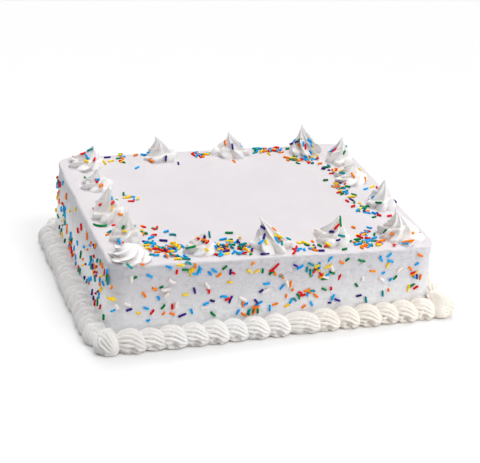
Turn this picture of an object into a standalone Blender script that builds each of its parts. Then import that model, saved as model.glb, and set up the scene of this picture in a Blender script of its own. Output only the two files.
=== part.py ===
"""A sheet cake in white whipped icing, with piped dollops, a piped shell border and rod sprinkles.

A standalone Blender 4.5 script: blender --background --python part.py, or run from the text editor.
Sizes are in metres and +Z is up. The origin is the middle of the underside, +X runs along the long
front side to the right and +Y runs to the back. The underside rests on z = 0.
"""
import math
import random
from typing import NamedTuple

import bmesh
import bpy
from mathutils import Matrix, Vector

# Body of the cake
LENGTH = 0.330
WIDTH = 0.246
HEIGHT = 0.082
FRONT_LEFT_RISE = -0.0005
FRONT_RIGHT_RISE = -0.010
BACK_RIGHT_RISE = 0.005
BACK_LEFT_RISE = 0.007
CORNER_RADIUS = 0.018
EDGE_RADIUS = 0.005
FOOT_FLARE = 0.0035
CORNER_STEPS = 4
EDGE_STEPS = 3
LENGTH_CELLS = 6
WIDTH_CELLS = 4
HEIGHT_CELLS = 2

# Gap between neighbouring pieces
GAP = 0.0003

# Piped shells round the foot
SHELL_LENGTH = 0.0145
SHELL_DEPTH = 0.0125
SHELL_HEIGHT = 0.0135
SHELL_SIDES = 8
SHELL_RINGS = 6
SHELL_RIDGE = 0.08
SHELL_TAIL = 0.16
SHELL_TURN = math.radians(-9)
SHELL_UNEVEN = 0.07
LONG_SHELL_STRETCH = 1.35
OUTWARD_CURL = (0.25, -0.85, -0.45)
UPWARD_CURL = (0.15, 0.35, 0.90)
FULL_SHELL = (1.0, 1.0, 1.0)
SHORT_SHELL = (0.78, 1.04, 0.82)
WIDE_SHELL = (0.85, 1.12, 1.05)
FRONT_LEFT_SHELL_OUT = 0.0035
FRONT_RIGHT_SHELL_OUT = 0.007
BACK_RIGHT_SHELL_OUT = 0.001
BACK_LEFT_SHELL_OUT = -0.003
CORE_OUT = 0.010
CORE_END = 0.006
CORE_HEIGHT = 0.013
CORE_INTO_BODY = 0.014
FLOOR_CUT = 0.006
BORDER_REACH = 0.030
BORDER_CLEAR_HEIGHT = 0.024

# Piped dollops on top
DOLLOP_RINGS = 8
DOLLOP_CREST = 0.14
DOLLOP_ROUND = 1.35
DOLLOP_TAPER = 1.55
DOLLOP_FOOT = 0.80
DOLLOP_SHOULDER = 0.18
DOLLOP_SWELL = 1.10
LOW_SWIRL = 0.016
FLANK_LOW = 0.30
FLANK_HIGH = 0.48
FLANK_STEP = 0.05

# Rod sprinkles
SPRINKLE_RADIUS = 0.00085
SPRINKLE_SIDES = 5
SPRINKLE_TIP = 0.0006
SPRINKLE_SHORTEST = 0.0052
SPRINKLE_LONGEST = 0.0078
SPRINKLE_PROUD = 0.0002
SPRINKLE_CHOICES = 12
SPRINKLE_SPACING = 0.0045
TOP_MARGIN = 0.040
TOP_EDGE_KEEP = 0.009
SPRINKLE_SEED = 11
SHELL_SEED = 5

# Icing
ICING_COLOUR = (0.86, 0.85, 0.84, 1.0)
DOLLOP_COLOUR = (0.90, 0.89, 0.87, 1.0)
BORDER_COLOUR = (0.90, 0.88, 0.85, 1.0)
ICING_ROUGHNESS = 0.55


class Dollop(NamedTuple):
    """One piped dollop: its place, size and lean in millimetres, and how it was piped."""
    name: str
    x: float
    y: float
    wide: float
    deep: float
    tall: float
    lean_x: float
    lean_y: float
    flutes: int
    twist: float
    sprinkles: int


DOLLOPS = (
    Dollop("dollop_corner_front_left", -144, -109, 18, 17, 14, 1, 0, 6, 150, 1),
    Dollop("dollop_front_1", -75, -102, 16, 15, 23, 8, 0, 6, 80, 2),
    Dollop("dollop_front_2", -4, -103, 20, 18, 33, -15, 0, 6, -75, 2),
    Dollop("dollop_front_3", 61, -98, 19, 17, 28, 6, 0, 6, 70, 2),
    Dollop("dollop_corner_front_right", 134, -99, 24, 21, 31, -9, 0, 8, 65, 2),
    Dollop("dollop_right_1", 146, -31, 18, 18, 31, -1, 0, 6, 60, 1),
    Dollop("dollop_right_2", 137, 31, 20, 19, 20, 1, 0, 6, 110, 2),
    Dollop("dollop_right_3", 143, 77, 17, 16, 30, 1, 0, 6, 70, 2),
    Dollop("dollop_corner_back_right", 112, 104, 20, 15, 34, -6, 0, 8, -70, 2),
    Dollop("dollop_back_2", 27, 107, 22, 14, 28, -5, 0, 6, -80, 1),
    Dollop("dollop_back_1", -55, 107, 20, 14, 27, -5, 0, 6, 65, 1),
    Dollop("dollop_corner_back_left", -137, 100, 20, 18, 23, 9, 0, 6, 95, 2),
    Dollop("dollop_left_3", -138, 46, 17, 17, 21, -1, 0, 6, 90, 1),
    Dollop("dollop_left_2", -143, -24, 18, 17, 35, -2, 0, 6, 70, 2),
    Dollop("dollop_left_1", -138, -71, 16, 15, 31, 0, 0, 6, 65, 1),
)


class Side(NamedTuple):
    """One upright side seen from outside, from its left end to its right end, with its row of shells."""
    name: str
    half_length: float
    half_depth: float
    turn: float
    sprinkles: int
    spacings: int
    long_shell: int
    shell_out: float
    shell_up: float
    shell_size: tuple
    curl: tuple
    left_corner_out: float
    right_corner_out: float


SIDES = (
    Side("front", LENGTH / 2, WIDTH / 2, 0, 34, 16, 9, 0.005, 0.009, FULL_SHELL, OUTWARD_CURL,
         FRONT_LEFT_SHELL_OUT, FRONT_RIGHT_SHELL_OUT),
    Side("right", WIDTH / 2, LENGTH / 2, 90, 17, 15, 0, 0.0105, 0.0105, WIDE_SHELL, UPWARD_CURL,
         FRONT_RIGHT_SHELL_OUT, BACK_RIGHT_SHELL_OUT),
    Side("back", LENGTH / 2, WIDTH / 2, 180, 18, 16, 0, 0.005, 0.009, FULL_SHELL, OUTWARD_CURL,
         BACK_RIGHT_SHELL_OUT, BACK_LEFT_SHELL_OUT),
    Side("left", WIDTH / 2, LENGTH / 2, 270, 26, 16, 0, 0.0075, 0.007, SHORT_SHELL, UPWARD_CURL,
         BACK_LEFT_SHELL_OUT, FRONT_LEFT_SHELL_OUT),
)
TOP_SPRINKLES = 32


def clear_scene():
    """Removes what a new file starts with."""
    for obj in list(bpy.data.objects):
        bpy.data.objects.remove(obj, do_unlink=True)


def new_collection(name):
    """Makes a collection in the scene."""
    collection = bpy.data.collections.new(name)
    bpy.context.scene.collection.children.link(collection)
    return collection


def icing(name, colour):
    """Makes a whipped icing material."""
    material = bpy.data.materials.new(name)
    material.use_nodes = True
    shader = material.node_tree.nodes["Principled BSDF"]
    shader.inputs["Base Color"].default_value = colour
    shader.inputs["Roughness"].default_value = ICING_ROUGHNESS
    shader.inputs["Metallic"].default_value = 0.0
    return material


def mesh_object(name, bm, collection, material=None):
    """Turns a bmesh into an object of a collection."""
    mesh = bpy.data.meshes.new(name)
    bm.to_mesh(mesh)
    bm.free()
    obj = bpy.data.objects.new(name, mesh)
    collection.objects.link(obj)
    if material:
        mesh.materials.append(material)
    return obj


def add_boolean(obj, operation, cutter):
    """Adds a Boolean modifier with one other object."""
    modifier = obj.modifiers.new(operation.lower(), 'BOOLEAN')
    modifier.operation = operation
    modifier.solver = 'EXACT'
    modifier.object = cutter


def fuse(obj, pieces):
    """Joins a collection's objects to obj in one union, applies it and removes them."""
    union = obj.modifiers.new("fuse", 'BOOLEAN')
    union.operation = 'UNION'
    union.operand_type = 'COLLECTION'
    union.collection = pieces
    union.solver = 'EXACT'
    evaluated = obj.evaluated_get(bpy.context.evaluated_depsgraph_get())
    joined = bpy.data.meshes.new_from_object(evaluated)
    obj.modifiers.clear()
    obj.data = joined
    for piece in list(pieces.objects):
        bpy.data.objects.remove(piece, do_unlink=True)
    bpy.data.collections.remove(pieces)


def top_height(x, y):
    """Height of the icing's top, which sags from corner to corner."""
    u = x / LENGTH + 0.5
    v = y / WIDTH + 0.5
    front = FRONT_LEFT_RISE * (1 - u) + FRONT_RIGHT_RISE * u
    back = BACK_LEFT_RISE * (1 - u) + BACK_RIGHT_RISE * u
    return HEIGHT + front * (1 - v) + back * v


def flare(z):
    """How far a side stands out at height z, most at the foot."""
    return FOOT_FLARE * max(0.0, 1 - z / HEIGHT) ** 2


def body_mesh(grow, below, cells_x, cells_y, cells_z):
    """Makes the body's block, rounded and cut into cells.

    grow is a clearance added all round, and below is how far it reaches under the floor.
    """
    length, width = LENGTH + 2 * grow, WIDTH + 2 * grow
    bm = bmesh.new()
    size = Matrix.Diagonal((length, width, HEIGHT, 1))
    bmesh.ops.create_cube(bm, size=1, matrix=Matrix.Translation((0, 0, HEIGHT / 2)) @ size)
    upright = [e for e in bm.edges if abs(e.verts[0].co.z - e.verts[1].co.z) > HEIGHT / 2]
    bmesh.ops.bevel(bm, geom=upright, offset=CORNER_RADIUS + grow, segments=CORNER_STEPS,
                    profile=0.5, affect='EDGES', clamp_overlap=True)
    rim = [e for e in bm.edges if min(v.co.z for v in e.verts) > HEIGHT - GAP]
    bmesh.ops.bevel(bm, geom=rim, offset=EDGE_RADIUS, segments=EDGE_STEPS,
                    profile=0.5, affect='EDGES', clamp_overlap=True)
    cuts = [((length * (i / cells_x - 0.5), 0, 0), (1, 0, 0)) for i in range(1, cells_x)]
    cuts += [((0, width * (i / cells_y - 0.5), 0), (0, 1, 0)) for i in range(1, cells_y)]
    cuts += [((0, 0, HEIGHT * i / (cells_z + 1)), (0, 0, 1)) for i in range(1, cells_z)]
    for place, normal in cuts:
        everything = bm.verts[:] + bm.edges[:] + bm.faces[:]
        bmesh.ops.bisect_plane(bm, geom=everything, dist=GAP / 10, plane_co=place, plane_no=normal)
    underside = [f for f in bm.faces if max(v.co.z for v in f.verts) < GAP]
    bmesh.ops.dissolve_faces(bm, faces=underside)
    for vert in bm.verts:
        x, y, z = vert.co
        out = flare(z)
        vert.co.x += out * x / (length / 2)
        vert.co.y += out * y / (width / 2)
        vert.co.z = z * top_height(x, y) / HEIGHT
    if below:
        base = [f for f in bm.faces if max(v.co.z for v in f.verts) < GAP]
        extruded = bmesh.ops.extrude_face_region(bm, geom=base)["geom"]
        for item in extruded:
            if isinstance(item, bmesh.types.BMVert):
                item.co.z -= below
        bmesh.ops.delete(bm, geom=base, context='FACES_ONLY')
    bmesh.ops.triangulate(bm, faces=bm.faces[:])
    return bm


def side_matrix(half_depth, turn):
    """Frame of a side: X along it to the right, -Y outwards, its origin at the side's foot."""
    return Matrix.Rotation(math.radians(turn), 4, 'Z') @ Matrix.Translation((0, -half_depth, 0))


def sprinkle_object(collection, place, along, normal, length):
    """Adds one rod sprinkle with blunt pointed ends, lying along a surface."""
    bm = bmesh.new()
    bmesh.ops.create_uvsphere(bm, u_segments=SPRINKLE_SIDES, v_segments=3, radius=1)
    half = length / 2
    for vert in bm.verts:
        x, y, z = vert.co
        end = math.copysign(1, z)
        flat = math.hypot(x, y)
        if flat < GAP:
            vert.co = (0, 0, end * half)
        else:
            vert.co = (x / flat * SPRINKLE_RADIUS, y / flat * SPRINKLE_RADIUS, end * (half - SPRINKLE_TIP))
    across = normal.cross(along).normalized()
    axes = Matrix((across, normal.normalized(), along.normalized())).transposed().to_4x4()
    obj = mesh_object("sprinkle", bm, collection)
    obj.matrix_world = Matrix.Translation(place + normal.normalized() * SPRINKLE_PROUD) @ axes


def spread(count, draw, free):
    """Draws places one by one, each the best spaced of several that are free.

    draw gives a random place and free tests it.
    """
    found = []

    def room(place):
        return min(((place - other).length for other in found), default=LENGTH)

    for _ in range(count):
        choices = [place for place in (draw() for _ in range(SPRINKLE_CHOICES)) if free(place)]
        best = max(choices, key=room, default=None)
        if best and room(best) > SPRINKLE_SPACING:
            found.append(best)
    return found


def clear_of_dollops(place):
    """Whether a sprinkle on the top lies clear of every dollop's foot."""
    for d in DOLLOPS:
        reach = SPRINKLE_LONGEST / 2 + GAP
        across = (place.x - d.x / 1000) / (d.wide / 1000 + reach)
        along = (place.y - d.y / 1000) / (d.deep / 1000 + reach)
        if math.hypot(across, along) < 1:
            return False
    return True


def in_top_margin(place):
    """Whether a place lies in the band between the top's edge and its bare middle."""
    inner = abs(place.x) < LENGTH / 2 - TOP_MARGIN and abs(place.y) < WIDTH / 2 - TOP_MARGIN
    return not inner and clear_of_dollops(place)


def side_sprinkles(pieces, rng, side):
    """Scatters sprinkles over one upright side."""
    frame = side_matrix(side.half_depth, side.turn)
    reach = side.half_length - CORNER_RADIUS
    low, high = BORDER_CLEAR_HEIGHT + SPRINKLE_LONGEST / 2, HEIGHT - EDGE_RADIUS - SPRINKLE_LONGEST / 2

    def draw():
        return Vector((rng.uniform(-reach, reach), 0, rng.uniform(low, high)))

    for place in spread(side.sprinkles, draw, lambda place: True):
        slope = (flare(place.z - GAP) - flare(place.z + GAP)) / (2 * GAP)
        normal = Vector((0, -1, slope)).normalized()
        angle = rng.uniform(0, math.pi)
        along = Vector((math.cos(angle), slope * math.sin(angle), math.sin(angle)))
        place.y = -flare(place.z)
        here = frame @ place
        here.z *= top_height(here.x, here.y) / HEIGHT
        turned = frame.to_3x3()
        sprinkle_object(pieces, here, turned @ along, turned @ normal,
                        rng.uniform(SPRINKLE_SHORTEST, SPRINKLE_LONGEST))


def top_sprinkles(pieces, rng, count):
    """Scatters sprinkles between the dollops on top."""
    reach_x, reach_y = LENGTH / 2 - TOP_EDGE_KEEP, WIDTH / 2 - TOP_EDGE_KEEP

    def draw():
        return Vector((rng.uniform(-reach_x, reach_x), rng.uniform(-reach_y, reach_y), 0))

    for place in spread(count, draw, in_top_margin):
        angle = rng.uniform(0, math.pi)
        place.z = top_height(place.x, place.y)
        sprinkle_object(pieces, place, Vector((math.cos(angle), math.sin(angle), 0)), Vector((0, 0, 1)),
                        rng.uniform(SPRINKLE_SHORTEST, SPRINKLE_LONGEST))


def build_cake(collection, material):
    """Makes the body with the sprinkles that lie on it."""
    bm = body_mesh(0, 0, LENGTH_CELLS, WIDTH_CELLS, HEIGHT_CELLS)
    cake = mesh_object("cake", bm, collection, material)
    pieces = new_collection("sprinkles")
    rng = random.Random(SPRINKLE_SEED)
    for side in SIDES:
        side_sprinkles(pieces, rng, side)
    top_sprinkles(pieces, rng, TOP_SPRINKLES)
    fuse(cake, pieces)
    return cake


def dollop_girth(t):
    """Radius of a dollop at the share t of its height, as a share of its full radius."""
    tuck = DOLLOP_FOOT + (1 - DOLLOP_FOOT) * min(1.0, t / DOLLOP_SHOULDER)
    return DOLLOP_SWELL * tuck * (1 - t ** DOLLOP_ROUND) ** DOLLOP_TAPER


def low_swirl_girth(t):
    """Radius of a low swirl, which stays wide and closes over at the top."""
    tuck = DOLLOP_FOOT + (1 - DOLLOP_FOOT) * min(1.0, t / DOLLOP_SHOULDER)
    return tuck * math.sqrt(max(0.0, 1 - t ** 2))


def dollop_point(d, t, angle, crest):
    """A point of a dollop at a share t of its height, with its flutes twisting as they rise."""
    girth = low_swirl_girth(t) if d.tall / 1000 < LOW_SWIRL else dollop_girth(t)
    turned = angle + math.radians(d.twist) * t
    reach = girth * (1 + DOLLOP_CREST * crest) / 1000
    x = d.wide * reach * math.cos(turned) + d.lean_x / 1000 * t ** 2
    y = d.deep * reach * math.sin(turned) + d.lean_y / 1000 * t ** 2
    return Vector((x, y, d.tall / 1000 * t))


def dollop_sprinkles(pieces, rng, d, foot):
    """Presses a few sprinkles into the flank of a dollop."""
    for k in range(d.sprinkles):
        t = rng.uniform(FLANK_LOW, FLANK_HIGH)
        angle = math.tau * round(d.flutes * (k + rng.random()) / d.sprinkles) / d.flutes
        crest = math.cos(d.flutes * angle)
        here = dollop_point(d, t, angle, crest)
        beside = dollop_point(d, t, angle + FLANK_STEP, crest) - here
        above = dollop_point(d, t + FLANK_STEP, angle, crest) - here
        normal = beside.cross(above).normalized()
        mix = rng.uniform(0, math.pi)
        along = beside.normalized() * math.cos(mix) + above.normalized() * math.sin(mix)
        along -= normal * along.dot(normal)
        sprinkle_object(pieces, foot + here, along, normal, rng.uniform(SPRINKLE_SHORTEST, SPRINKLE_LONGEST))


def build_dollop(d, index, collection, material):
    """Makes one piped dollop standing just clear of the top."""
    foot = Vector((d.x / 1000, d.y / 1000, top_height(d.x / 1000, d.y / 1000)))
    bm = bmesh.new()
    bmesh.ops.create_uvsphere(bm, u_segments=2 * d.flutes, v_segments=DOLLOP_RINGS, radius=1)
    for vert in bm.verts:
        ring = round(math.acos(max(-1.0, min(1.0, -vert.co.z))) / math.pi * DOLLOP_RINGS)
        angle = math.atan2(vert.co.y, vert.co.x)
        crest = math.cos(d.flutes * angle)
        t = max(0, ring - 1) / (DOLLOP_RINGS - 1)
        point = dollop_point(d, t, angle, crest) if ring else Vector()
        tilt = top_height(foot.x + point.x, foot.y + point.y) - foot.z
        vert.co = point + Vector((0, 0, tilt + GAP))
    bmesh.ops.triangulate(bm, faces=bm.faces[:])
    dollop = mesh_object(d.name, bm, collection, material)
    dollop.location = foot
    if d.sprinkles:
        pieces = new_collection("sprinkles")
        dollop_sprinkles(pieces, random.Random(SPRINKLE_SEED + index), d, foot)
        fuse(dollop, pieces)
    return dollop


def shell_object(collection, place, turn, scale, curl):
    """Adds one piped shell: a ridged dome whose ridges ring the direction of its curl, with a tail."""
    bm = bmesh.new()
    bmesh.ops.create_uvsphere(bm, u_segments=SHELL_SIDES, v_segments=SHELL_RINGS, radius=1)
    to_curl = Vector((0, 0, 1)).rotation_difference(Vector(curl))
    for vert in bm.verts:
        away = math.acos(max(-1.0, min(1.0, vert.co.z)))
        direction = to_curl @ vert.co
        reach = 1 + SHELL_RIDGE * math.cos(away * SHELL_RINGS)
        reach += SHELL_TAIL * max(0.0, direction.x) ** 2
        vert.co = (direction.x * SHELL_LENGTH * scale[0] * reach,
                   direction.y * SHELL_DEPTH * scale[1] * reach,
                   direction.z * SHELL_HEIGHT * scale[2] * reach)
    shell = mesh_object("shell", bm, collection)
    shell.matrix_world = place @ Matrix.Rotation(turn, 4, 'Z')


def shell_row(side):
    """Places of the shells between two corners, with uneven lengths and at most one long shell."""
    rng = random.Random(SHELL_SEED + side.spacings + side.long_shell)
    steps = [1 + rng.uniform(-SHELL_UNEVEN, SHELL_UNEVEN) for _ in range(side.spacings)]
    if side.long_shell:
        for k in (side.long_shell - 1, side.long_shell):
            steps[k] *= 1 + (LONG_SHELL_STRETCH - 1) / 2
    s = -side.half_length - side.left_corner_out
    pitch = (side.half_length + side.right_corner_out - s) / sum(steps)
    places = []
    for k, step in enumerate(steps[:-1]):
        s += step * pitch
        size = [share * (1 + rng.uniform(-SHELL_UNEVEN, SHELL_UNEVEN)) for share in side.shell_size]
        if side.long_shell and k + 1 == side.long_shell:
            size[0] *= LONG_SHELL_STRETCH
        places.append((s, size, rng.uniform(-1, 1) * SHELL_UNEVEN))
    return places


def wedge_mesh(half_length, half_depth):
    """The space of one side's border: outside the body, above the floor, mitred at both corners."""
    bm = bmesh.new()
    bmesh.ops.create_cube(bm, size=2)
    for vert in bm.verts:
        outer = BORDER_REACH if vert.co.y < 0 else -BORDER_REACH
        vert.co = (math.copysign(half_length + outer - GAP, vert.co.x),
                   -half_depth - outer, HEIGHT if vert.co.z > 0 else 0)
    return bm


def build_border(side, body_cutter, collection, cutters, material):
    """Pipes the shells along one side's foot as one rope, cut clear of the body and mitred at the corners."""
    frame = side_matrix(side.half_depth, side.turn)
    left = side.half_length + side.left_corner_out
    right = side.half_length + side.right_corner_out
    bm = bmesh.new()
    size = Matrix.Diagonal((left + right + 2 * CORE_END, CORE_OUT + CORE_INTO_BODY, CORE_HEIGHT + FLOOR_CUT, 1))
    middle = Vector(((right - left) / 2, (CORE_INTO_BODY - CORE_OUT) / 2, (CORE_HEIGHT - FLOOR_CUT) / 2))
    bmesh.ops.create_cube(bm, size=1, matrix=frame @ Matrix.Translation(middle) @ size)
    rope = mesh_object("border_" + side.name, bm, collection, material)
    pieces = new_collection("shells")
    for s, scale, tilt in shell_row(side):
        place = frame @ Matrix.Translation((s, -side.shell_out, side.shell_up))
        shell_object(pieces, place, SHELL_TURN + tilt, scale, side.curl)
    for end, s, out in ((-1, -left, side.left_corner_out), (1, right, side.right_corner_out)):
        place = frame @ Matrix.Translation((s, -out, side.shell_up))
        shell_object(pieces, place, end * math.radians(45), side.shell_size, side.curl)
    fuse(rope, pieces)
    wedge = mesh_object("wedge_" + side.name, wedge_mesh(side.half_length, side.half_depth), cutters)
    wedge.rotation_euler.z = math.radians(side.turn)
    hide_cutter(wedge)
    add_boolean(rope, 'DIFFERENCE', body_cutter)
    add_boolean(rope, 'INTERSECT', wedge)
    return rope


def hide_cutter(obj):
    """Marks an object as a cutter only."""
    obj.hide_render = True
    obj.display_type = 'WIRE'


def main():
    """Builds the cake, its dollops and its border."""
    clear_scene()
    parts = new_collection("sheet_cake")
    cutters = new_collection("cutters")
    holder = bpy.data.objects.new("sheet_cake_origin", None)
    parts.objects.link(holder)

    pieces = [build_cake(parts, icing("body icing", ICING_COLOUR))]
    dollop_icing = icing("dollop icing", DOLLOP_COLOUR)
    for index, d in enumerate(DOLLOPS):
        pieces.append(build_dollop(d, index, parts, dollop_icing))

    body_cutter = mesh_object("body_clearance", body_mesh(GAP, FLOOR_CUT, 1, 1, HEIGHT_CELLS), cutters)
    hide_cutter(body_cutter)
    border_icing = icing("border icing", BORDER_COLOUR)
    for side in SIDES:
        pieces.append(build_border(side, body_cutter, parts, cutters, border_icing))
    for piece in pieces:
        piece.parent = holder


main()
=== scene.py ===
"""Looks of a sheet cake in white whipped icing, with piped dollops, a shell border and rod sprinkles.

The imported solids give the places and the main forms. Each piece here takes the place of one node and adds
what a solid leaves out: the spatula's marks, the folds of the piped cream, the ribs of the shells and the
colours of the sprinkles. Sizes are in metres unless a name says millimetres.
"""

import logging
import math
import random
from dataclasses import dataclass, field
from enum import Enum
from typing import Callable

import bpy
from mathutils import Matrix, Vector, noise


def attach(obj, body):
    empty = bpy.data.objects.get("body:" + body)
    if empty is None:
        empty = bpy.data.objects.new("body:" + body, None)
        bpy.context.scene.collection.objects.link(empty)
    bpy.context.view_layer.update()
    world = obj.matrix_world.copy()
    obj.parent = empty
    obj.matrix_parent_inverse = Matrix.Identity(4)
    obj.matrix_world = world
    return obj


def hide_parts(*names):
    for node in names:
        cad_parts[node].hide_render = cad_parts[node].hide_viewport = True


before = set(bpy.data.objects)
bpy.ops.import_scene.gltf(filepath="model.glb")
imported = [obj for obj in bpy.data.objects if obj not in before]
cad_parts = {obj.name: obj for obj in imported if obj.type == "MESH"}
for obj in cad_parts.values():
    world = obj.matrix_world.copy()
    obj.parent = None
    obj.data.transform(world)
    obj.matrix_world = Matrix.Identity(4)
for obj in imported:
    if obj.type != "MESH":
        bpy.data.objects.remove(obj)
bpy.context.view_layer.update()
BODY = "root"
MM = 0.001
UP = Vector((0, 0, 1))
# Blender's vector noise shifts with the clock unless it is seeded.
WARP_SEED = 7

log = logging.getLogger("sheet_cake")

Point = tuple[float, float, float]
Colour = tuple[float, float, float, float]


def srgb(red: int, green: int, blue: int) -> Colour:
    """Turns a screen colour into the linear one that shaders take.

    Args:
        red, green, blue: the colour, 0 to 255.

    Returns:
        The linear colour with an alpha of 1.
    """
    def linear(value: int) -> float:
        """One channel, by the usual screen curve."""
        share = value / 255
        return share / 12.92 if share <= 0.04045 else ((share + 0.055) / 1.055) ** 2.4
    return linear(red), linear(green), linear(blue), 1.0


def smooth(low: float, high: float, value: float) -> float:
    """Rises smoothly from 0 where the value is low to 1 where it is high."""
    share = max(0.0, min(1.0, (value - low) / (high - low)))
    return share * share * (3 - 2 * share)


def bump_at(middle: float, reach: float, value: float) -> float:
    """A round bump of height 1 at middle that fades within about two reaches."""
    return math.exp(-((value - middle) / reach) ** 2)


def rounded_ribs(phase: float, sharpness: float) -> float:
    """Round ribs at 1 and creases at -1, one each half turn. Below 1, the sharpness narrows the creases."""
    return 2 * abs(math.cos(phase)) ** sharpness - 1


def waves(place: Vector, across: float, up: float = 0.0, seed: float = 0.0) -> float:
    """Smooth noise, -1 to 1, with so many cells a metre across and up."""
    return noise.noise(Vector((place.x * across, place.y * across, place.z * up + seed)))


class MeshMaker:
    """Collects the points and faces of one piece, with a painted shade and a share of cream and painted
    light for each point.
    """

    def __init__(self) -> None:
        """Starts empty."""
        self.points: list[Point] = []
        self.faces: list[tuple[int, ...]] = []
        self.tints: list[tuple[float, float]] = []

    def add_point(self, place: Vector, painted_shade: float = 0.0, cream_and_light: float = 0.0) -> int:
        """Adds a point.

        Args:
            place: where it is.
            painted_shade: the painted shade there, 0 to 1, in folds, creases and hollows, near the floor
                and on the shaded sides and shells.
            cream_and_light: how creamy the icing is there, 0 to 1; on the cake's sides it is painted light,
                paler towards the foot.

        Returns:
            Its number.
        """
        self.points.append((place.x, place.y, place.z))
        self.tints.append((max(0.0, min(1.0, painted_shade)), max(0.0, min(1.0, cream_and_light))))
        return len(self.points) - 1

    def join_rings(self, rings: list[list[int]]) -> None:
        """Joins closed rings of the same length, one above the other, with four-sided faces.

        Args:
            rings: the numbers of the points of each ring.
        """
        for low, high in zip(rings, rings[1:]):
            count = len(low)
            for i in range(count):
                j = (i + 1) % count
                self.faces.append((low[i], low[j], high[j], high[i]))

    def close_ring(self, ring: list[int], tip: int, upward: bool) -> None:
        """Closes a ring with a fan of triangles.

        Args:
            ring: the numbers of its points.
            tip: the number of the point in its middle.
            upward: whether the fan follows the ring in join_rings's order.
        """
        count = len(ring)
        for i in range(count):
            j = (i + 1) % count
            self.faces.append((ring[i], ring[j], tip) if upward else (ring[j], ring[i], tip))

    def piece(self, name: str, material: bpy.types.Material) -> bpy.types.Object:
        """Makes the object.

        Args:
            name: its name.
            material: its finish.

        Returns:
            The object, linked to the scene and smooth-shaded.
        """
        mesh = bpy.data.meshes.new(name)
        mesh.from_pydata(self.points, [], self.faces)
        # The tint holds the painted shade in red and the share of cream and painted light in green.
        tint = mesh.attributes.new("tint", 'FLOAT_COLOR', 'POINT')
        values = [value for painted_shade, cream_and_light in self.tints for value in (painted_shade, cream_and_light, 0.0, 1.0)]
        tint.data.foreach_set("color", values)
        mesh.shade_smooth()
        mesh.materials.append(material)
        obj = bpy.data.objects.new(name, mesh)
        bpy.context.scene.collection.objects.link(obj)
        return obj


class NodeSketch:
    """Short ways to add and link shader nodes."""
    middle_range: tuple[float, float] = (0.35, 0.65)
    wide_range: tuple[float, float] = (0.3, 0.7)

    def __init__(self, name: str) -> None:
        """Starts a material with its shader.

        Args:
            name: the material's name.
        """
        self.material = bpy.data.materials.new(name)
        self.material.use_nodes = True
        self.tree = self.material.node_tree
        self.shader = self.tree.nodes["Principled BSDF"]

    def add(self, kind: str, **settings: object) -> bpy.types.Node:
        """Adds a node.

        Args:
            kind: its type.
            settings: its properties.

        Returns:
            The node.
        """
        node = self.tree.nodes.new(kind)
        for key, value in settings.items():
            setattr(node, key, value)
        return node

    def link(self, source: bpy.types.NodeSocket, target: bpy.types.NodeSocket) -> None:
        """Links two sockets."""
        self.tree.links.new(source, target)

    def noise(self, scale: float, detail: float, stretch: Point = (1, 1, 1)) -> bpy.types.NodeSocket:
        """Adds noise over the object's own space.

        Args:
            scale: its fineness, in cells a metre.
            detail: how many finer layers it has.
            stretch: how much finer it is along each axis.

        Returns:
            Its grey output.
        """
        place = self.add("ShaderNodeTexCoord")
        mapping = self.add("ShaderNodeMapping")
        mapping.inputs["Scale"].default_value = stretch
        texture = self.add("ShaderNodeTexNoise")
        texture.inputs["Scale"].default_value = scale
        texture.inputs["Detail"].default_value = detail
        self.link(place.outputs["Object"], mapping.inputs["Vector"])
        self.link(mapping.outputs["Vector"], texture.inputs["Vector"])
        return texture.outputs["Fac"]

    def spread(self, source: bpy.types.NodeSocket, start: float, end: float, low: float,
               high: float) -> bpy.types.NodeSocket:
        """Maps a range of values to another.

        Args:
            source: the values.
            start, end: the range they are read over.
            low, high: what its ends become.

        Returns:
            The mapped values.
        """
        node = self.add("ShaderNodeMapRange")
        for socket, value in zip(("From Min", "From Max", "To Min", "To Max"), (start, end, low, high)):
            node.inputs[socket].default_value = value
        self.link(source, node.inputs["Value"])
        return node.outputs["Result"]

    def mix(self, share: bpy.types.NodeSocket, first: object, second: object) -> bpy.types.NodeSocket:
        """Mixes two colours.

        Args:
            share: how much of the second shows.
            first, second: colours, or sockets that give them.

        Returns:
            The mixed colour.
        """
        node = self.add("ShaderNodeMix", data_type='RGBA')
        self.link(share, node.inputs["Factor"])
        for socket, value in ((node.inputs[6], first), (node.inputs[7], second)):
            if isinstance(value, bpy.types.NodeSocket):
                self.link(value, socket)
            else:
                socket.default_value = value
        return node.outputs[2]

    def bump(self, height: bpy.types.NodeSocket, depth: float, strength: float,
             under: bpy.types.NodeSocket | None = None) -> bpy.types.NodeSocket:
        """Adds relief too fine for the mesh.

        Args:
            height: the relief, 0 to 1.
            depth: its depth in metres.
            strength: how much of it shows.
            under: relief that it is added to.

        Returns:
            The normal.
        """
        node = self.add("ShaderNodeBump")
        node.inputs["Distance"].default_value = depth
        node.inputs["Strength"].default_value = strength
        self.link(height, node.inputs["Height"])
        if under:
            self.link(under, node.inputs["Normal"])
        return node.outputs["Normal"]


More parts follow.
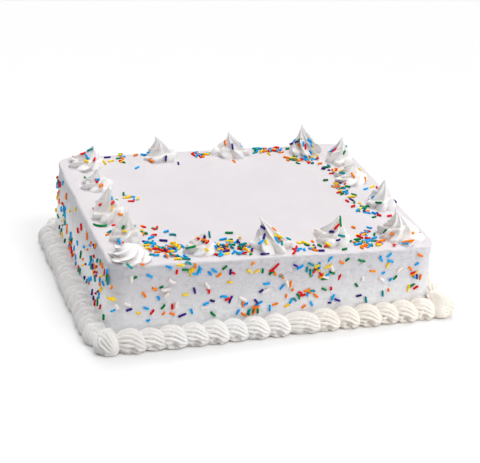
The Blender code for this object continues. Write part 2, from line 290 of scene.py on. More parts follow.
@dataclass(frozen=True)
class IcingFinish:
    """Whipped icing: matt, a little see-through, creamier in patches, paler where the tint asks for painted
    light, and darker where it asks for painted shade.
    """
    name: str
    colour: Colour
    painted_shade: Colour
    cream_and_light_colour: Colour
    painted_shade_share: float
    roughness: float = 0.46
    pores: float = 1300
    pore_depth: float = 0.0001
    pore_strength: float = 0.5
    streaks: float = 0.1
    streak_scale: float = 45
    streak_depth: float = 0.0012
    patches: float = 0.3
    patch_scale: float = 30
    sheen_scale: float = 220
    sheen_change: float = 0.07
    glow: float = 0.03
    glow_depth: float = 0.0010
    specular: float = 0.35

    def material(self) -> bpy.types.Material:
        """Makes the material.

        Returns:
            The material.
        """
        sketch = NodeSketch(self.name)
        inputs = sketch.shader.inputs
        tint = sketch.add("ShaderNodeAttribute", attribute_name="tint")
        parts = sketch.add("ShaderNodeSeparateColor")
        sketch.link(tint.outputs["Color"], parts.inputs["Color"])
        patches = sketch.noise(self.patch_scale, 2)
        patches = sketch.spread(patches, *sketch.middle_range, 0.0, self.patches)
        # Creamier in random patches and by the tint's green channel: creamier shells, and painted light
        # that pales the cake's sides towards the foot.
        cream_and_light = sketch.add("ShaderNodeMath", operation='MAXIMUM')
        sketch.link(parts.outputs["Green"], cream_and_light.inputs[0])
        sketch.link(patches, cream_and_light.inputs[1])
        base = sketch.mix(cream_and_light.outputs["Value"], self.colour, self.cream_and_light_colour)
        # Painted shade: the tint's red channel mixes in the darker colour.
        shade_mix = sketch.spread(parts.outputs["Red"], 0.0, 1.0, 0.0, self.painted_shade_share)
        sketch.link(sketch.mix(shade_mix, base, self.painted_shade), inputs["Base Color"])
        rough = sketch.spread(sketch.noise(self.sheen_scale, 3), *sketch.wide_range,
                              self.roughness - self.sheen_change, self.roughness + self.sheen_change)
        sketch.link(rough, inputs["Roughness"])
        streaks = sketch.noise(self.streak_scale, 3, (1, 1, 6))
        strokes = sketch.bump(streaks, self.streak_depth, self.streaks)
        pores = sketch.bump(sketch.noise(self.pores, 4), self.pore_depth, self.pore_strength, strokes)
        sketch.link(pores, inputs["Normal"])
        inputs["Subsurface Weight"].default_value = self.glow
        inputs["Subsurface Radius"].default_value = (1.0, 0.85, 0.7)
        inputs["Subsurface Scale"].default_value = self.glow_depth
        inputs["Specular IOR Level"].default_value = self.specular
        return sketch.material


@dataclass(frozen=True)
class SugarFinish:
    """Pressed sugar of a sprinkle: one colour, a little uneven, with a soft gloss."""
    name: str
    colour: Colour
    deep: Colour
    blend_scale: float = 260
    sheen_scale: float = 900
    smoothest: float = 0.42
    roughest: float = 0.60
    grain_scale: float = 1600
    grain_depth: float = 0.0001
    grain_strength: float = 0.4
    specular: float = 0.12

    def material(self) -> bpy.types.Material:
        """Makes the material.

        Returns:
            The material.
        """
        sketch = NodeSketch(self.name)
        inputs = sketch.shader.inputs
        blend = sketch.spread(sketch.noise(self.blend_scale, 2), *sketch.middle_range, 0.0, 1.0)
        sketch.link(sketch.mix(blend, self.colour, self.deep), inputs["Base Color"])
        rough = sketch.spread(sketch.noise(self.sheen_scale, 2), *sketch.wide_range, self.smoothest,
                              self.roughest)
        sketch.link(rough, inputs["Roughness"])
        grain = sketch.bump(sketch.noise(self.grain_scale, 2), self.grain_depth, self.grain_strength)
        sketch.link(grain, inputs["Normal"])
        inputs["Specular IOR Level"].default_value = self.specular
        return sketch.material


@dataclass(frozen=True)
class FloorFinish:
    """A plain pale studio floor."""
    name: str
    colour: Colour
    roughness: float = 0.9
    specular: float = 0.1

    def material(self) -> bpy.types.Material:
        """Makes the material.

        Returns:
            The material.
        """
        sketch = NodeSketch(self.name)
        sketch.shader.inputs["Base Color"].default_value = self.colour
        sketch.shader.inputs["Roughness"].default_value = self.roughness
        sketch.shader.inputs["Specular IOR Level"].default_value = self.specular
        return sketch.material


# Its second colour is the painted shade of the cake's sides. Its third is the painted light that pales them
# towards the foot, and it also shows faintly in random patches.
SPREAD_ICING = IcingFinish(
    "spread icing", srgb(214, 209, 212), srgb(192, 195, 203), srgb(243, 244, 246), painted_shade_share=0.8,
    roughness=0.55, pores=340, pore_depth=0.0009, streaks=0.6, patches=0.06, glow=0.12)
# Its second colour is the painted shade in the dollops' folds.
PIPED_ICING = IcingFinish(
    "piped icing", srgb(240, 239, 240), srgb(214, 197, 174), srgb(243, 239, 235), painted_shade_share=0.36,
    glow=0.05)
# Its second colour is the painted shade in the shells' creases, eyes and feet.
BORDER_ICING = IcingFinish(
    "border icing", srgb(251, 250, 249), srgb(198, 184, 170), srgb(253, 245, 234), painted_shade_share=0.40)
# A darker copy of the border icing for the left row of shells: painted shade.
SHADED_BORDER_ICING = IcingFinish(
    "shaded border icing", srgb(243, 241, 240), srgb(184, 184, 187), srgb(243, 239, 235), painted_shade_share=0.60,
    patches=0.2)
FLOOR = FloorFinish("floor", (0.83, 0.83, 0.83, 1.0))


class SprinkleColour(Enum):
    """The colours that the sprinkles come in: a record slot, the sugar's colour and its deeper shade."""
    RED = ("sprinkle_red", srgb(246, 26, 16), srgb(206, 4, 26))
    ORANGE = ("sprinkle_orange", srgb(255, 150, 14), srgb(255, 112, 8))
    YELLOW = ("sprinkle_yellow", srgb(255, 228, 48), srgb(255, 200, 20))
    GREEN = ("sprinkle_green", srgb(0, 150, 78), srgb(0, 108, 62))
    TEAL = ("sprinkle_teal", srgb(0, 164, 168), srgb(0, 122, 134))
    BLUE = ("sprinkle_blue", srgb(0, 184, 246), srgb(0, 150, 232))
    NAVY = ("sprinkle_navy", srgb(66, 44, 158), srgb(44, 14, 92))
    ICED = ("sprinkle_iced", srgb(246, 243, 241), srgb(246, 232, 224))

    @property
    def slot(self) -> str:
        """The record's material slot."""
        return self.value[0]

    def finish(self) -> SugarFinish:
        """The sugar of this colour."""
        return SugarFinish(self.slot.replace("_", " "), self.value[1], self.value[2])


RED, ORANGE, YELLOW, GREEN, TEAL, BLUE, NAVY, ICED = SprinkleColour
COLOUR_SHARES = {RED: 0.13, ORANGE: 0.15, YELLOW: 0.15, GREEN: 0.15, TEAL: 0.10, BLUE: 0.24, NAVY: 0.08}


@dataclass(frozen=True)
class CakeShape:
    """The block of cake as the solid has it, and the marks of the spatula in its icing."""
    length: float = 0.330
    width: float = 0.246
    height: float = 0.082
    front_left_rise: float = -0.0005
    front_right_rise: float = -0.010
    back_right_rise: float = 0.005
    back_left_rise: float = 0.007
    corner_radius: float = 0.018
    edge_radius: float = 0.005
    foot_flare: float = 0.0035
    rim_radius: float = 0.0018
    swell: float = 0.0006
    stroke: float = 0.0003
    grain: float = 0.00070
    pit: float = 0.0008
    lip: float = 0.0009
    lip_depth: float = 0.0030
    broad_tear: float = 0.0030
    fine_tear: float = 0.0016
    top_swell: float = 0.0006
    top_stroke: float = 0.00013

    def top_height(self, x: float, y: float) -> float:
        """Height of the icing's top, which sags from corner to corner.

        Args:
            x, y: the place.

        Returns:
            The height there.
        """
        u, v = x / self.length + 0.5, y / self.width + 0.5
        front = self.front_left_rise * (1 - u) + self.front_right_rise * u
        back = self.back_left_rise * (1 - u) + self.back_right_rise * u
        return self.height + front * (1 - v) + back * v

    def flare(self, z: float) -> float:
        """How far a side stands out at height z, most at the foot."""
        return self.foot_flare * max(0.0, 1 - z / self.height) ** 2

    def outline(self, step: float) -> list[tuple[Vector, Vector]]:
        """The rounded rectangle that the sides follow.

        Args:
            step: the length between two points.

        Returns:
            Pairs of a point and its outward direction, anticlockwise from the front left corner.
        """
        radius = self.corner_radius
        along, across = self.length / 2, self.width / 2
        pairs = []
        for turn in range(4):
            spin = Matrix.Rotation(turn * math.pi / 2, 3, 'Z')
            straight = 2 * (along - radius)
            count = max(2, round(straight / step))
            for i in range(count):
                place = Vector((-straight / 2 + straight * i / count, -across, 0))
                pairs.append((spin @ place, spin @ Vector((0, -1, 0))))
            count = max(3, round(radius * math.pi / 2 / step))
            for i in range(count):
                angle = -math.pi / 2 + math.pi / 2 * i / count
                out = Vector((math.cos(angle), math.sin(angle), 0))
                centre = Vector((along - radius, -across + radius, 0))
                pairs.append((spin @ (centre + out * radius), spin @ out))
            along, across = across, along
        return pairs

    def side_relief(self, place: Vector) -> float:
        """How far the spatula left the side's icing proud or short.

        Args:
            place: a point of a side.

        Returns:
            The relief along the side's outward direction.
        """
        x, y, z = place
        swell = waves(place, 26, 26) * self.swell
        strokes = waves(place, 24, 120, 9) * self.stroke
        slant = Vector((x * 110 + z * 90, y * 110 + z * 90, z * 330 - (x + y) * 190))
        fine = noise.noise(slant) * self.grain * (0.6 + 0.8 * waves(place, 18, 18))
        torn = smooth(-0.15, 0.3, waves(place, 42, 60, 31))
        pits = smooth(0.15, 0.4, waves(place, 150, 230)) * torn
        ragged = waves(place, 60, seed=4) * self.broad_tear
        ragged += waves(place, 260, seed=2) * self.fine_tear
        ledge = self.height - self.lip_depth + ragged
        there = smooth(-0.35, 0.15, waves(place, 19, seed=12))
        lip = smooth(ledge - 0.0008, ledge + 0.0006, z) * there
        return swell + strokes + fine - pits * self.pit * (1 - lip) + lip * self.lip

    def top_relief(self, x: float, y: float) -> float:
        """How far the spatula left the top's icing high or low."""
        strokes = noise.noise(Vector((x * 26, y * 90, 8))) * self.top_stroke
        return noise.noise(Vector((x * 14, y * 14, 5))) * self.top_swell + strokes


@dataclass
class CakeBody:
    """The iced block."""
    shape: CakeShape
    cell: float = 0.0013
    wall_rows: int = 62
    edge_rows: int = 4
    top_rings: int = 18
    ring_crowding: float = 1.15
    # Painted shade darkens the sides towards the top, more on the left side. Painted light pales them
    # towards the foot and fades by the top.
    painted_side_shade: float = 0.45
    left_painted_side_shade: float = 0.40
    painted_light_fade: float = 0.8
    left_painted_light_fade: float = 0.2

    def profile(self) -> list[tuple[float, float, float]]:
        """The side's section from the foot to the top's rim.

        Returns:
            Triples of inset, height on an unsagged cake, and how much the surface faces up.
        """
        s = self.shape
        rows = []
        for i in range(self.wall_rows + 1):
            rows.append((0.0, (s.height - s.rim_radius) * i / self.wall_rows, 0.0))
        for i in range(1, self.edge_rows + 1):
            angle = math.pi / 2 * i / self.edge_rows
            rows.append((s.rim_radius * (1 - math.cos(angle)),
                         s.height - s.rim_radius * (1 - math.sin(angle)), math.sin(angle)))
        return rows

    def place(self, flat: Vector, out: Vector, inset: float, z: float, facing_up: float) -> Vector:
        """A point of the icing's surface.

        Args:
            flat: the outline's point.
            out: its outward direction.
            inset, z, facing_up: from the profile.

        Returns:
            The point, with the spatula's marks.
        """
        s = self.shape
        spot = flat - out * inset
        flare = s.flare(z)
        x = spot.x + flare * spot.x / (s.length / 2)
        y = spot.y + flare * spot.y / (s.width / 2)
        level = s.top_height(spot.x, spot.y) / s.height
        here = Vector((x, y, z * level))
        side = s.side_relief(Vector((spot.x, spot.y, z)))
        top = s.top_relief(spot.x, spot.y)
        return here + out * side * (1 - facing_up) + UP * (top + side * 0.5 * (1 - facing_up)) * facing_up

    def tint(self, out: Vector, up: float) -> tuple[float, float]:
        """The painted shade and painted light on a side: darker towards the top and on the left side, paler
        towards the foot.

        Args:
            out: the side's outward direction.
            up: the share of the height.

        Returns:
            The painted shade and the painted paleness, 0 to 1.
        """
        left = max(0.0, -out.x)
        upper = smooth(0.05 + 0.35 * left, 0.9 + 0.05 * left, up)
        return ((self.painted_side_shade + self.left_painted_side_shade * left) * upper,
                1 - (self.painted_light_fade + self.left_painted_light_fade * left) * upper)

    def build(self) -> bpy.types.Object:
        """Makes the piece.

        Returns:
            The iced block, in place of the cake's solid.
        """
        s = self.shape
        maker = MeshMaker()
        outline = s.outline(self.cell)
        rings = []
        for inset, z, facing_up in self.profile():
            ring = []
            for flat, out in outline:
                # Painted shade and painted light on the sides, none on the top.
                painted_dark, pale = self.tint(out, z / s.height)
                here = self.place(flat, out, inset, z, facing_up)
                ring.append(maker.add_point(here, painted_dark * (1 - facing_up), pale * (1 - facing_up)))
            rings.append(ring)
        for k in range(1, self.top_rings):
            share = 1 - (k / self.top_rings) ** self.ring_crowding
            ring = []
            for flat, out in outline:
                spot = (flat - out * s.rim_radius) * share
                z = s.top_height(spot.x, spot.y) + s.top_relief(spot.x, spot.y)
                ring.append(maker.add_point(Vector((spot.x, spot.y, z))))
            rings.append(ring)
        maker.join_rings(rings)
        middle = maker.add_point(Vector((0, 0, s.top_height(0, 0) + s.top_relief(0, 0))))
        maker.close_ring(rings[-1], middle, True)
        foot = maker.add_point(Vector((0, 0, 0)))
        maker.close_ring(rings[0], foot, False)
        piece = maker.piece("spread_icing_body", SPREAD_ICING.material())
        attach(piece, BODY)
        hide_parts("cake")
        return piece


@dataclass(frozen=True)
class Dollop:
    """One piped dollop. Its place and sizes are in millimetres and match its solid."""
    node: str
    x: float
    y: float
    wide: float
    deep: float
    tall: float
    lean_x: float
    lean_y: float
    flutes: int
    twist: float
    seed: int
    ridge: float = 1.14
    valley: float = 0.74
    petals: tuple = ((0.0, 0.14, 0.60, 0.17), (0.48, 0.10, 0.50, 0.15))
    petal_rise: float = 0.26
    petal_drop: float = 0.05
    # Painted shade in the recess just above each petal's edge.
    petal_shade: float = 0.7
    skew: float = 0.45
    fin_growth: float = 0.35
    blade: float = 0.35
    hook: float = 2.2
    hook_turn: float = 47
    warp: float = 0.0016
    sink: float = 0.0006
    low: float = 16.0
    low_depth: float = 0.9
    columns: int = 120
    rows: int = 66

    def girth(self, t: float) -> float:
        """Radius at the share t of the height, as a share of the full radius.

        Args:
            t: the share of the height, 0 to 1.

        Returns:
            The radius there.
        """
        tuck = 0.90 + 0.10 * smooth(0.0, 0.16, t)
        if self.tall < self.low:
            return tuck * math.sqrt(max(0.0, 1 - t ** 2))
        return tuck * (1 - t ** 1.25) ** 1.45

    def lobes(self, t: float, angle: float) -> tuple[float, float]:
        """The folds of the cream at a point: round lobes at the foot and sharp fins above them.

        Args:
            t: the share of the height.
            angle: the direction in radians, before the twist.

        Returns:
            What they add to the radius, as a share, and how deep the crease is, 0 to 1.
        """
        count = self.flutes
        skewed = angle + self.skew / count * math.sin(count * angle + 1.2) * smooth(0.0, 0.5, t)
        phase = count * skewed / 2
        which = math.floor(count * (skewed / math.tau) + 0.5) % count
        strength = 0.70 + 0.55 * noise.cell(Vector((which * 3.7 + 0.5, self.seed * 1.3 + 0.5, 0.5)))
        lobe = abs(math.cos(phase)) ** 0.75
        fin = 1 - abs(math.sin(phase)) ** 0.8
        upper = smooth(-0.12, 0.42, t)
        depth = (self.ridge - self.valley) * (1 + self.fin_growth * upper)
        share = (lobe * (1 - upper) + fin * upper) * (1 + (strength - 1) * 0.5)
        if self.tall < self.low:
            depth *= self.low_depth
        # Painted shade, deepest in the valleys between the lobes and the fins.
        fold_shade = (1 - lobe) ** 2 * (1 - upper) + (1 - fin) ** 3 * 0.4 * upper
        return self.ridge - depth * (1 - share) - 1, fold_shade

    def coil(self, t: float, angle: float) -> tuple[float, float]:
        """The free edges of the petals that wrap round the dollop.

        Args:
            t: the share of the height.
            angle: the direction in radians, before the twist.

        Returns:
            What it adds to the radius, as a share, and the painted shade just above the petals' edges, 0 to
            1.
        """
        way = 1 if self.twist > 0 else -1
        grown, fold_shade = 0.0, 0.0
        for start, low, rise, depth in self.petals:
            share = (way * angle / math.tau + self.seed * 0.37 + start) % 1.0
            edge = low + rise * share
            fade = smooth(0.0, 0.12, share) * (1 - smooth(0.55, 0.85, share))
            below = smooth(edge - self.petal_rise, edge, t) ** 2
            grown += depth * (below * (1 - smooth(edge, edge + self.petal_drop, t))) * fade
            # Painted shade just above the petal's edge.
            fold_shade = max(fold_shade, bump_at(edge + 0.055, 0.025, t) * fade * self.petal_shade)
        return grown, fold_shade

    def point(self, t: float, angle: float) -> tuple[Vector, float]:
        """A point of the dollop, from its foot's middle.

        Args:
            t: the share of the height.
            angle: the direction in radians, before the twist.

        Returns:
            The point and its painted shade, 0 to 1, which fades out towards the tip.
        """
        lobe, painted_shade = self.lobes(t, angle)
        step, coil_shade = self.coil(t, angle)
        turned = angle + math.radians(self.twist) * t
        reach = self.girth(t) * (1 + lobe + step) * MM
        blade = 1 - self.blade * smooth(0.55, 0.95, t)
        hook = self.hook * smooth(0.72, 1.0, t) ** 2
        hook_way = math.radians(self.hook_turn * self.seed)
        x = self.wide * reach * math.cos(turned) + (self.lean_x * t * t + hook * math.cos(hook_way)) * MM
        y = self.deep * reach * math.sin(turned) * blade
        y += (self.lean_y * t * t + hook * math.sin(hook_way)) * MM
        z = self.tall * MM * t
        here = Vector((x, y, z))
        shift = noise.noise_vector(Vector((x * 60, y * 60, z * 75 + 7 * self.seed)))
        here += Vector((shift.x, shift.y, shift.z * 0.5)) * self.warp * smooth(0.0, 0.25, t) * (1 - t)
        return here, min(1.0, painted_shade + coil_shade) * (1 - smooth(0.7, 1.0, t))

    def foot(self, shape: CakeShape) -> Vector:
        """The middle of its foot on the cake's top."""
        x, y = self.x * MM, self.y * MM
        return Vector((x, y, shape.top_height(x, y)))

    def settle(self, here: Vector, foot: Vector, shape: CakeShape) -> Vector:
        """Tilts a point of the dollop with the top that it stands on.

        Args:
            here: the point from the foot's middle.
            foot: the foot's middle.
            shape: the cake.

        Returns:
            The point in the row's frame.
        """
        spot = foot + here
        spot.z += shape.top_height(spot.x, spot.y) - foot.z
        return spot

    def build(self, shape: CakeShape, material: bpy.types.Material) -> bpy.types.Object:
        """Makes the piece.

        Args:
            shape: the cake that it stands on.
            material: its icing.

        Returns:
            The dollop, in place of its solid.
        """
        foot = self.foot(shape)
        maker = MeshMaker()
        rings = []
        for j in range(self.rows):
            t = (j / self.rows) ** 0.95
            sink = -self.sink * (1 - smooth(0.0, 0.04, t))
            ring = []
            for i in range(self.columns):
                here, painted_shade = self.point(t, math.tau * i / self.columns)
                spot = self.settle(here, foot, shape) + UP * sink
                ring.append(maker.add_point(spot, painted_shade))
            rings.append(ring)
        maker.join_rings(rings)
        tip, _ = self.point(1.0, 0.0)
        maker.close_ring(rings[-1], maker.add_point(self.settle(tip, foot, shape)), True)
        maker.close_ring(rings[0], maker.add_point(foot - UP * self.sink), False)
        piece = maker.piece(self.node + "_icing", material)
        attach(piece, BODY)
        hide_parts(self.node)
        return piece


DOLLOPS = (
    Dollop("dollop_corner_front_left", -144, -109, 18, 17, 14, 1, 0, 6, 150, 1),
    Dollop("dollop_front_1", -75, -102, 16, 15, 23, 8, 0, 6, 80, 2),
    Dollop("dollop_front_2", -4, -103, 20, 18, 33, -15, 0, 6, -75, 3),
    Dollop("dollop_front_3", 61, -98, 19, 17, 28, 6, 0, 6, 70, 4),
    Dollop("dollop_corner_front_right", 134, -99, 24, 21, 31, -9, 0, 8, 65, 5),
    Dollop("dollop_right_1", 146, -31, 18, 18, 31, -1, 0, 6, 60, 6),
    Dollop("dollop_right_2", 137, 31, 20, 19, 20, 1, 0, 6, 110, 7),
    Dollop("dollop_right_3", 143, 77, 17, 16, 30, 1, 0, 6, 70, 8),
    Dollop("dollop_corner_back_right", 112, 104, 20, 15, 34, -6, 0, 8, -70, 9),
    Dollop("dollop_back_2", 27, 107, 22, 14, 28, -5, 0, 6, -80, 10),
    Dollop("dollop_back_1", -55, 107, 20, 14, 27, -5, 0, 6, 65, 11),
    Dollop("dollop_corner_back_left", -137, 100, 20, 18, 23, 9, 0, 6, 95, 12),
    Dollop("dollop_left_3", -138, 46, 17, 17, 21, -1, 0, 6, 90, 13),
    Dollop("dollop_left_2", -143, -24, 18, 17, 35, -2, 0, 6, 70, 14),
    Dollop("dollop_left_1", -138, -71, 16, 15, 31, 0, 0, 6, 65, 15),
)


class Ribs(Enum):
    """Which way a shell's ribs run: along it, or in arcs round a place on it, as the photo shows them."""
    ALONG = ()
    REAR_ARCS = (0.95, 1.15)
    FRONT_ARCS = (-0.95, -0.60)


@dataclass(frozen=True)
class Side:
    """One side seen from outside, and its row of shells, as the solids have them.

    A low row is one that the photo shows lower than its solid. The shades are painted shade on its icing:
    all along it, and towards its left end.
    """
    name: str
    half_length: float
    half_depth: float
    turn: float
    sprinkles: int
    spacings: int
    long_shell: int
    shell_out: float
    shell_up: float
    shell_size: Point
    ribs: Ribs
    left_corner_out: float
    right_corner_out: float
    cream_left: float
    cream_right: float
    shade: float = 0.0
    left_shade: float = 0.0
    low: bool = False

    def frame(self) -> Matrix:
        """The side's frame: X along it to the right, -Y outwards, its origin at the side's foot."""
        foot = Matrix.Translation((0, -self.half_depth, 0))
        return Matrix.Rotation(math.radians(self.turn), 4, 'Z') @ foot


HALF_LENGTH, HALF_WIDTH = CakeShape.length / 2, CakeShape.width / 2
SIDES = (
    Side("front", HALF_LENGTH, HALF_WIDTH, 0, 34, 16, 9, 0.005, 0.009, (1.0, 1.0, 1.0), Ribs.ALONG,
         0.0035, 0.007, 0.0, 0.9, left_shade=0.6, low=True),
    Side("right", HALF_WIDTH, HALF_LENGTH, 90, 17, 15, 0, 0.0105, 0.0105, (0.85, 1.12, 1.05),
         Ribs.FRONT_ARCS, 0.007, 0.001, 0.9, 0.3),
    Side("back", HALF_LENGTH, HALF_WIDTH, 180, 18, 16, 0, 0.005, 0.009, (1.0, 1.0, 1.0), Ribs.ALONG,
         0.001, -0.003, 0.3, 0.0, low=True),
    Side("left", HALF_WIDTH, HALF_LENGTH, 270, 26, 16, 0, 0.0075, 0.007, (0.78, 1.04, 0.82),
         Ribs.REAR_ARCS, -0.003, 0.0035, 0.0, 0.0, shade=0.15),
)
SIDE_BY_NAME = {side.name: side for side in SIDES}


@dataclass(frozen=True)
class Shell:
    """One piped shell: its place and turn, its size, how creamy it is and how much painted shade it gets.
    """
    place: Matrix
    size: tuple[float, ...]
    cream_and_light: float
    painted_dark: float


@dataclass
class ShellBorder:
    """The row of shells along one side's foot."""
    side: Side
    length: float = 0.0145
    depth: float = 0.0125
    height: float = 0.0135
    tail: float = 0.16
    low_depth: float = 0.76
    low_height: float = 0.79
    low_out: float = 0.0030
    low_drop: float = 0.0014
    corner_length: float = 0.80
    strands: int = 16
    strand_slant: float = 0.28
    strand_curl: float = 0.30
    strand_wander: float = 0.6
    strand_sharpness: float = 0.65
    strand_depth: float = 0.17
    arcs: float = 11.0
    eye_place: tuple[float, float] = (0.12, -0.22)
    eye_size: tuple[float, float] = (0.40, 0.42)
    eye_ring: float = 0.13
    eye_hollow: float = 0.28
    # Painted shade in the eye's hollow.
    eye_shade: float = 0.6
    lumps: float = 0.06
    # A painted contact shadow where a shell meets the floor.
    floor_shadow: float = 0.9
    tail_out: float = 0.12
    droop: float = 0.21
    strand_rings: int = 44
    strand_columns: int = 70
    turn: float = math.radians(-9)
    uneven: float = 0.07
    long_stretch: float = 1.35
    seed: int = 5

    def shells(self) -> list[Shell]:
        """Works out the row, with its solid's count, rhythm and outer line.

        Returns:
            The shells from the left corner to the right one.
        """
        side = self.side
        axes = side.frame()
        rng = random.Random(self.seed + side.spacings + side.long_shell)
        steps = [1 + rng.uniform(-self.uneven, self.uneven) for _ in range(side.spacings)]
        if side.long_shell:
            for k in (side.long_shell - 1, side.long_shell):
                steps[k] *= 1 + (self.long_stretch - 1) / 2
        left = side.half_length + side.left_corner_out
        right = side.half_length + side.right_corner_out
        s = -left
        pitch = (right + left) / sum(steps)
        row = [self.corner_shell(axes, -1, -left, side.left_corner_out, side.cream_left)]
        for k, step in enumerate(steps[:-1]):
            s += step * pitch
            size = [share * (1 + rng.uniform(-self.uneven, self.uneven)) for share in side.shell_size]
            if side.long_shell and k + 1 == side.long_shell:
                size[0] *= self.long_stretch
            turn = self.turn + rng.uniform(-1, 1) * self.uneven
            size, out, up = self.lowered(size, side.shell_out)
            place = axes @ Matrix.Translation((s, -out, up))
            share = (s + left) / (left + right)
            cream_and_light = side.cream_left + (side.cream_right - side.cream_left) * smooth(0.35, 0.75, share)
            # Painted shade: the row's own, and more towards its left end.
            painted_dark = side.shade + side.left_shade * (1 - smooth(0.0, 0.22, share))
            row.append(Shell(place @ Matrix.Rotation(turn, 4, 'Z'), tuple(size), cream_and_light, painted_dark))
        row.append(self.corner_shell(axes, 1, right, side.right_corner_out, side.cream_right))
        return row

    def corner_shell(self, axes: Matrix, end: int, s: float, out: float, cream_and_light: float) -> Shell:
        """The shell at a corner, which the next side's row shares.

        Args:
            axes: the side's frame.
            end: -1 for the left end and 1 for the right one.
            s: its place along the side.
            out: how far it stands out.
            cream_and_light: how creamy it is.

        Returns:
            The shell.
        """
        size, out, up = self.lowered(list(self.side.shell_size), out)
        if self.side.low:
            size[0] *= self.corner_length
        place = axes @ Matrix.Translation((s, -out, up))
        # Painted shade: the row's own, and more at its left end.
        painted_dark = self.side.shade + (self.side.left_shade if end < 0 else 0.0)
        return Shell(place @ Matrix.Rotation(end * math.pi / 4, 4, 'Z'), tuple(size), cream_and_light, painted_dark)

    def lowered(self, size: list[float], out: float) -> tuple[list[float], float, float]:
        """Makes a shell of a low row narrower and lower than its solid, as the photo shows it.

        Args:
            size: the solid's shares of length, depth and height.
            out: how far the solid stands out.

        Returns:
            The shares, how far the shell stands out and how high its middle is.
        """
        if not self.side.low:
            return size, out, self.side.shell_up
        return ([size[0], size[1] * self.low_depth, size[2] * self.low_height], out + self.low_out,
                self.side.shell_up - self.low_drop)

    def girth(self, x: float) -> float:
        """Radius along a shell, round at its head and blunt at its tail.

        Args:
            x: the place along it, from -1 at its head to 1 at its tail.

        Returns:
            The radius there, as a share of the full one.
        """
        if self.side.ribs.value:
            return 1.04 * (1 - abs(x) ** 1.6) ** 0.62
        return math.sqrt(1 - x * x) if x < 0 else (1 - x ** 2.5) ** 0.4

    def rib(self, x: float, around: float, wander: float) -> float:
        """The nozzle's ribs on a shell.

        Args:
            x: the place along the shell, -1 to 1.
            around: the angle round it.
            wander: how far this shell's ribs are turned.

        Returns:
            1 on a rib and -1 in a crease.
        """
        arcs = self.side.ribs.value
        if arcs:
            phase = self.arcs * math.hypot(x - arcs[0], math.remainder(around - arcs[1], math.tau))
        else:
            curl = self.strand_slant * x + self.strand_curl * x * x
            phase = self.strands * (around + curl + self.strand_wander * wander) / 2
        return rounded_ribs(phase, self.strand_sharpness)

    def eye(self, x: float, around: float) -> tuple[float, float]:
        """The eye that the ribs of a shell curl round.

        Args:
            x: the place along the shell, -1 to 1.
            around: the angle round it.

        Returns:
            What it adds to the radius, as a share, and the painted shade in its hollow.
        """
        if self.side.ribs.value:
            return 0.0, 0.0
        up = math.remainder(around - self.eye_place[1], math.tau)
        away = math.hypot((x - self.eye_place[0]) / self.eye_size[0], up / self.eye_size[1])
        relief = self.eye_ring * bump_at(0.95, 0.30, away) - self.eye_hollow * bump_at(0.0, 0.5, away)
        return relief, bump_at(0.0, 0.45, away) * self.eye_shade

    def add_shell(self, maker: MeshMaker, shell: Shell) -> None:
        """Adds a shell, whose ribs follow the side's pattern and whose tail droops.

        Args:
            maker: what it is added to.
            shell: its place and size.
        """
        size = (self.length * shell.size[0], self.depth * shell.size[1], self.height * shell.size[2])
        origin = shell.place.translation
        wander = noise.noise(origin * 70)
        rings = []
        for j in range(1, self.strand_rings):
            x = -math.cos(math.pi * j / self.strand_rings)
            girth = self.girth(x)
            tail = smooth(0.0, 1.0, x)
            depth = self.strand_depth * smooth(0.0, 0.5, 1 - abs(x))
            ring = []
            for i in range(self.strand_columns):
                around = math.tau * i / self.strand_columns
                across, up = math.cos(around), math.sin(around)
                rib = self.rib(x, around, wander)
                eye, eye_shading = self.eye(x, around)
                lump = noise.noise(origin * 90 + Vector((x, across, up)) * 1.3) * self.lumps
                reach = girth * (1 + depth * (rib - 0.1) + eye + lump)
                here = shell.place @ Vector((x * size[0] * (1 + self.tail * max(0.0, x) ** 2),
                                             -across * size[1] * reach - self.tail_out * tail * size[1],
                                             up * size[2] * reach - self.droop * tail * size[2]))
                here.z = max(here.z, 0.0003)
                # A painted contact shadow near the floor, with painted shade in the creases between the
                # ribs, in the eye's hollow and on the shell's own share.
                low = self.floor_shadow * (1 - smooth(0.0004, 0.0040, here.z))
                painted_shade = max(max(0.0, -rib) * depth / self.strand_depth + eye_shading, shell.painted_dark, low)
                ring.append(maker.add_point(here, painted_shade, shell.cream_and_light))
            rings.append(ring)
        maker.join_rings(rings)
        for ring, upward in ((rings[0], False), (rings[-1], True)):
            middle = sum((Vector(maker.points[k]) for k in ring), Vector()) / self.strand_columns
            # The middles of the ends get a little painted shade.
            maker.close_ring(ring, maker.add_point(middle, 0.3, shell.cream_and_light), upward)

    def build(self, material: bpy.types.Material) -> bpy.types.Object:
        """Makes the piece.

        Args:
            material: its icing.

        Returns:
            The row, in place of its solid.
        """
        maker = MeshMaker()
        for shell in self.shells():
            self.add_shell(maker, shell)
        piece = maker.piece("shells_" + self.side.name, material)
        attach(piece, BODY)
        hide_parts("border_" + self.side.name)
        return piece


@dataclass(frozen=True)
class Rod:
    """One rod sprinkle: where its middle is, how it lies, its length, its bend and its colour."""
    place: Vector
    along: Vector
    normal: Vector
    length: float
    bend: float
    colour: SprinkleColour


@dataclass(frozen=True)
class Cluster:
    """A patch where more sprinkles fell, in millimetres."""
    x: float
    y: float
    half_x: float
    half_y: float
    count: int
    pile: float = 0.0


class Face(Enum):
    """The faces of the cake that carry sprinkles."""
    TOP = "top"
    FRONT = "front"
    LEFT = "left"
    RIGHT = "right"
    BACK = "back"


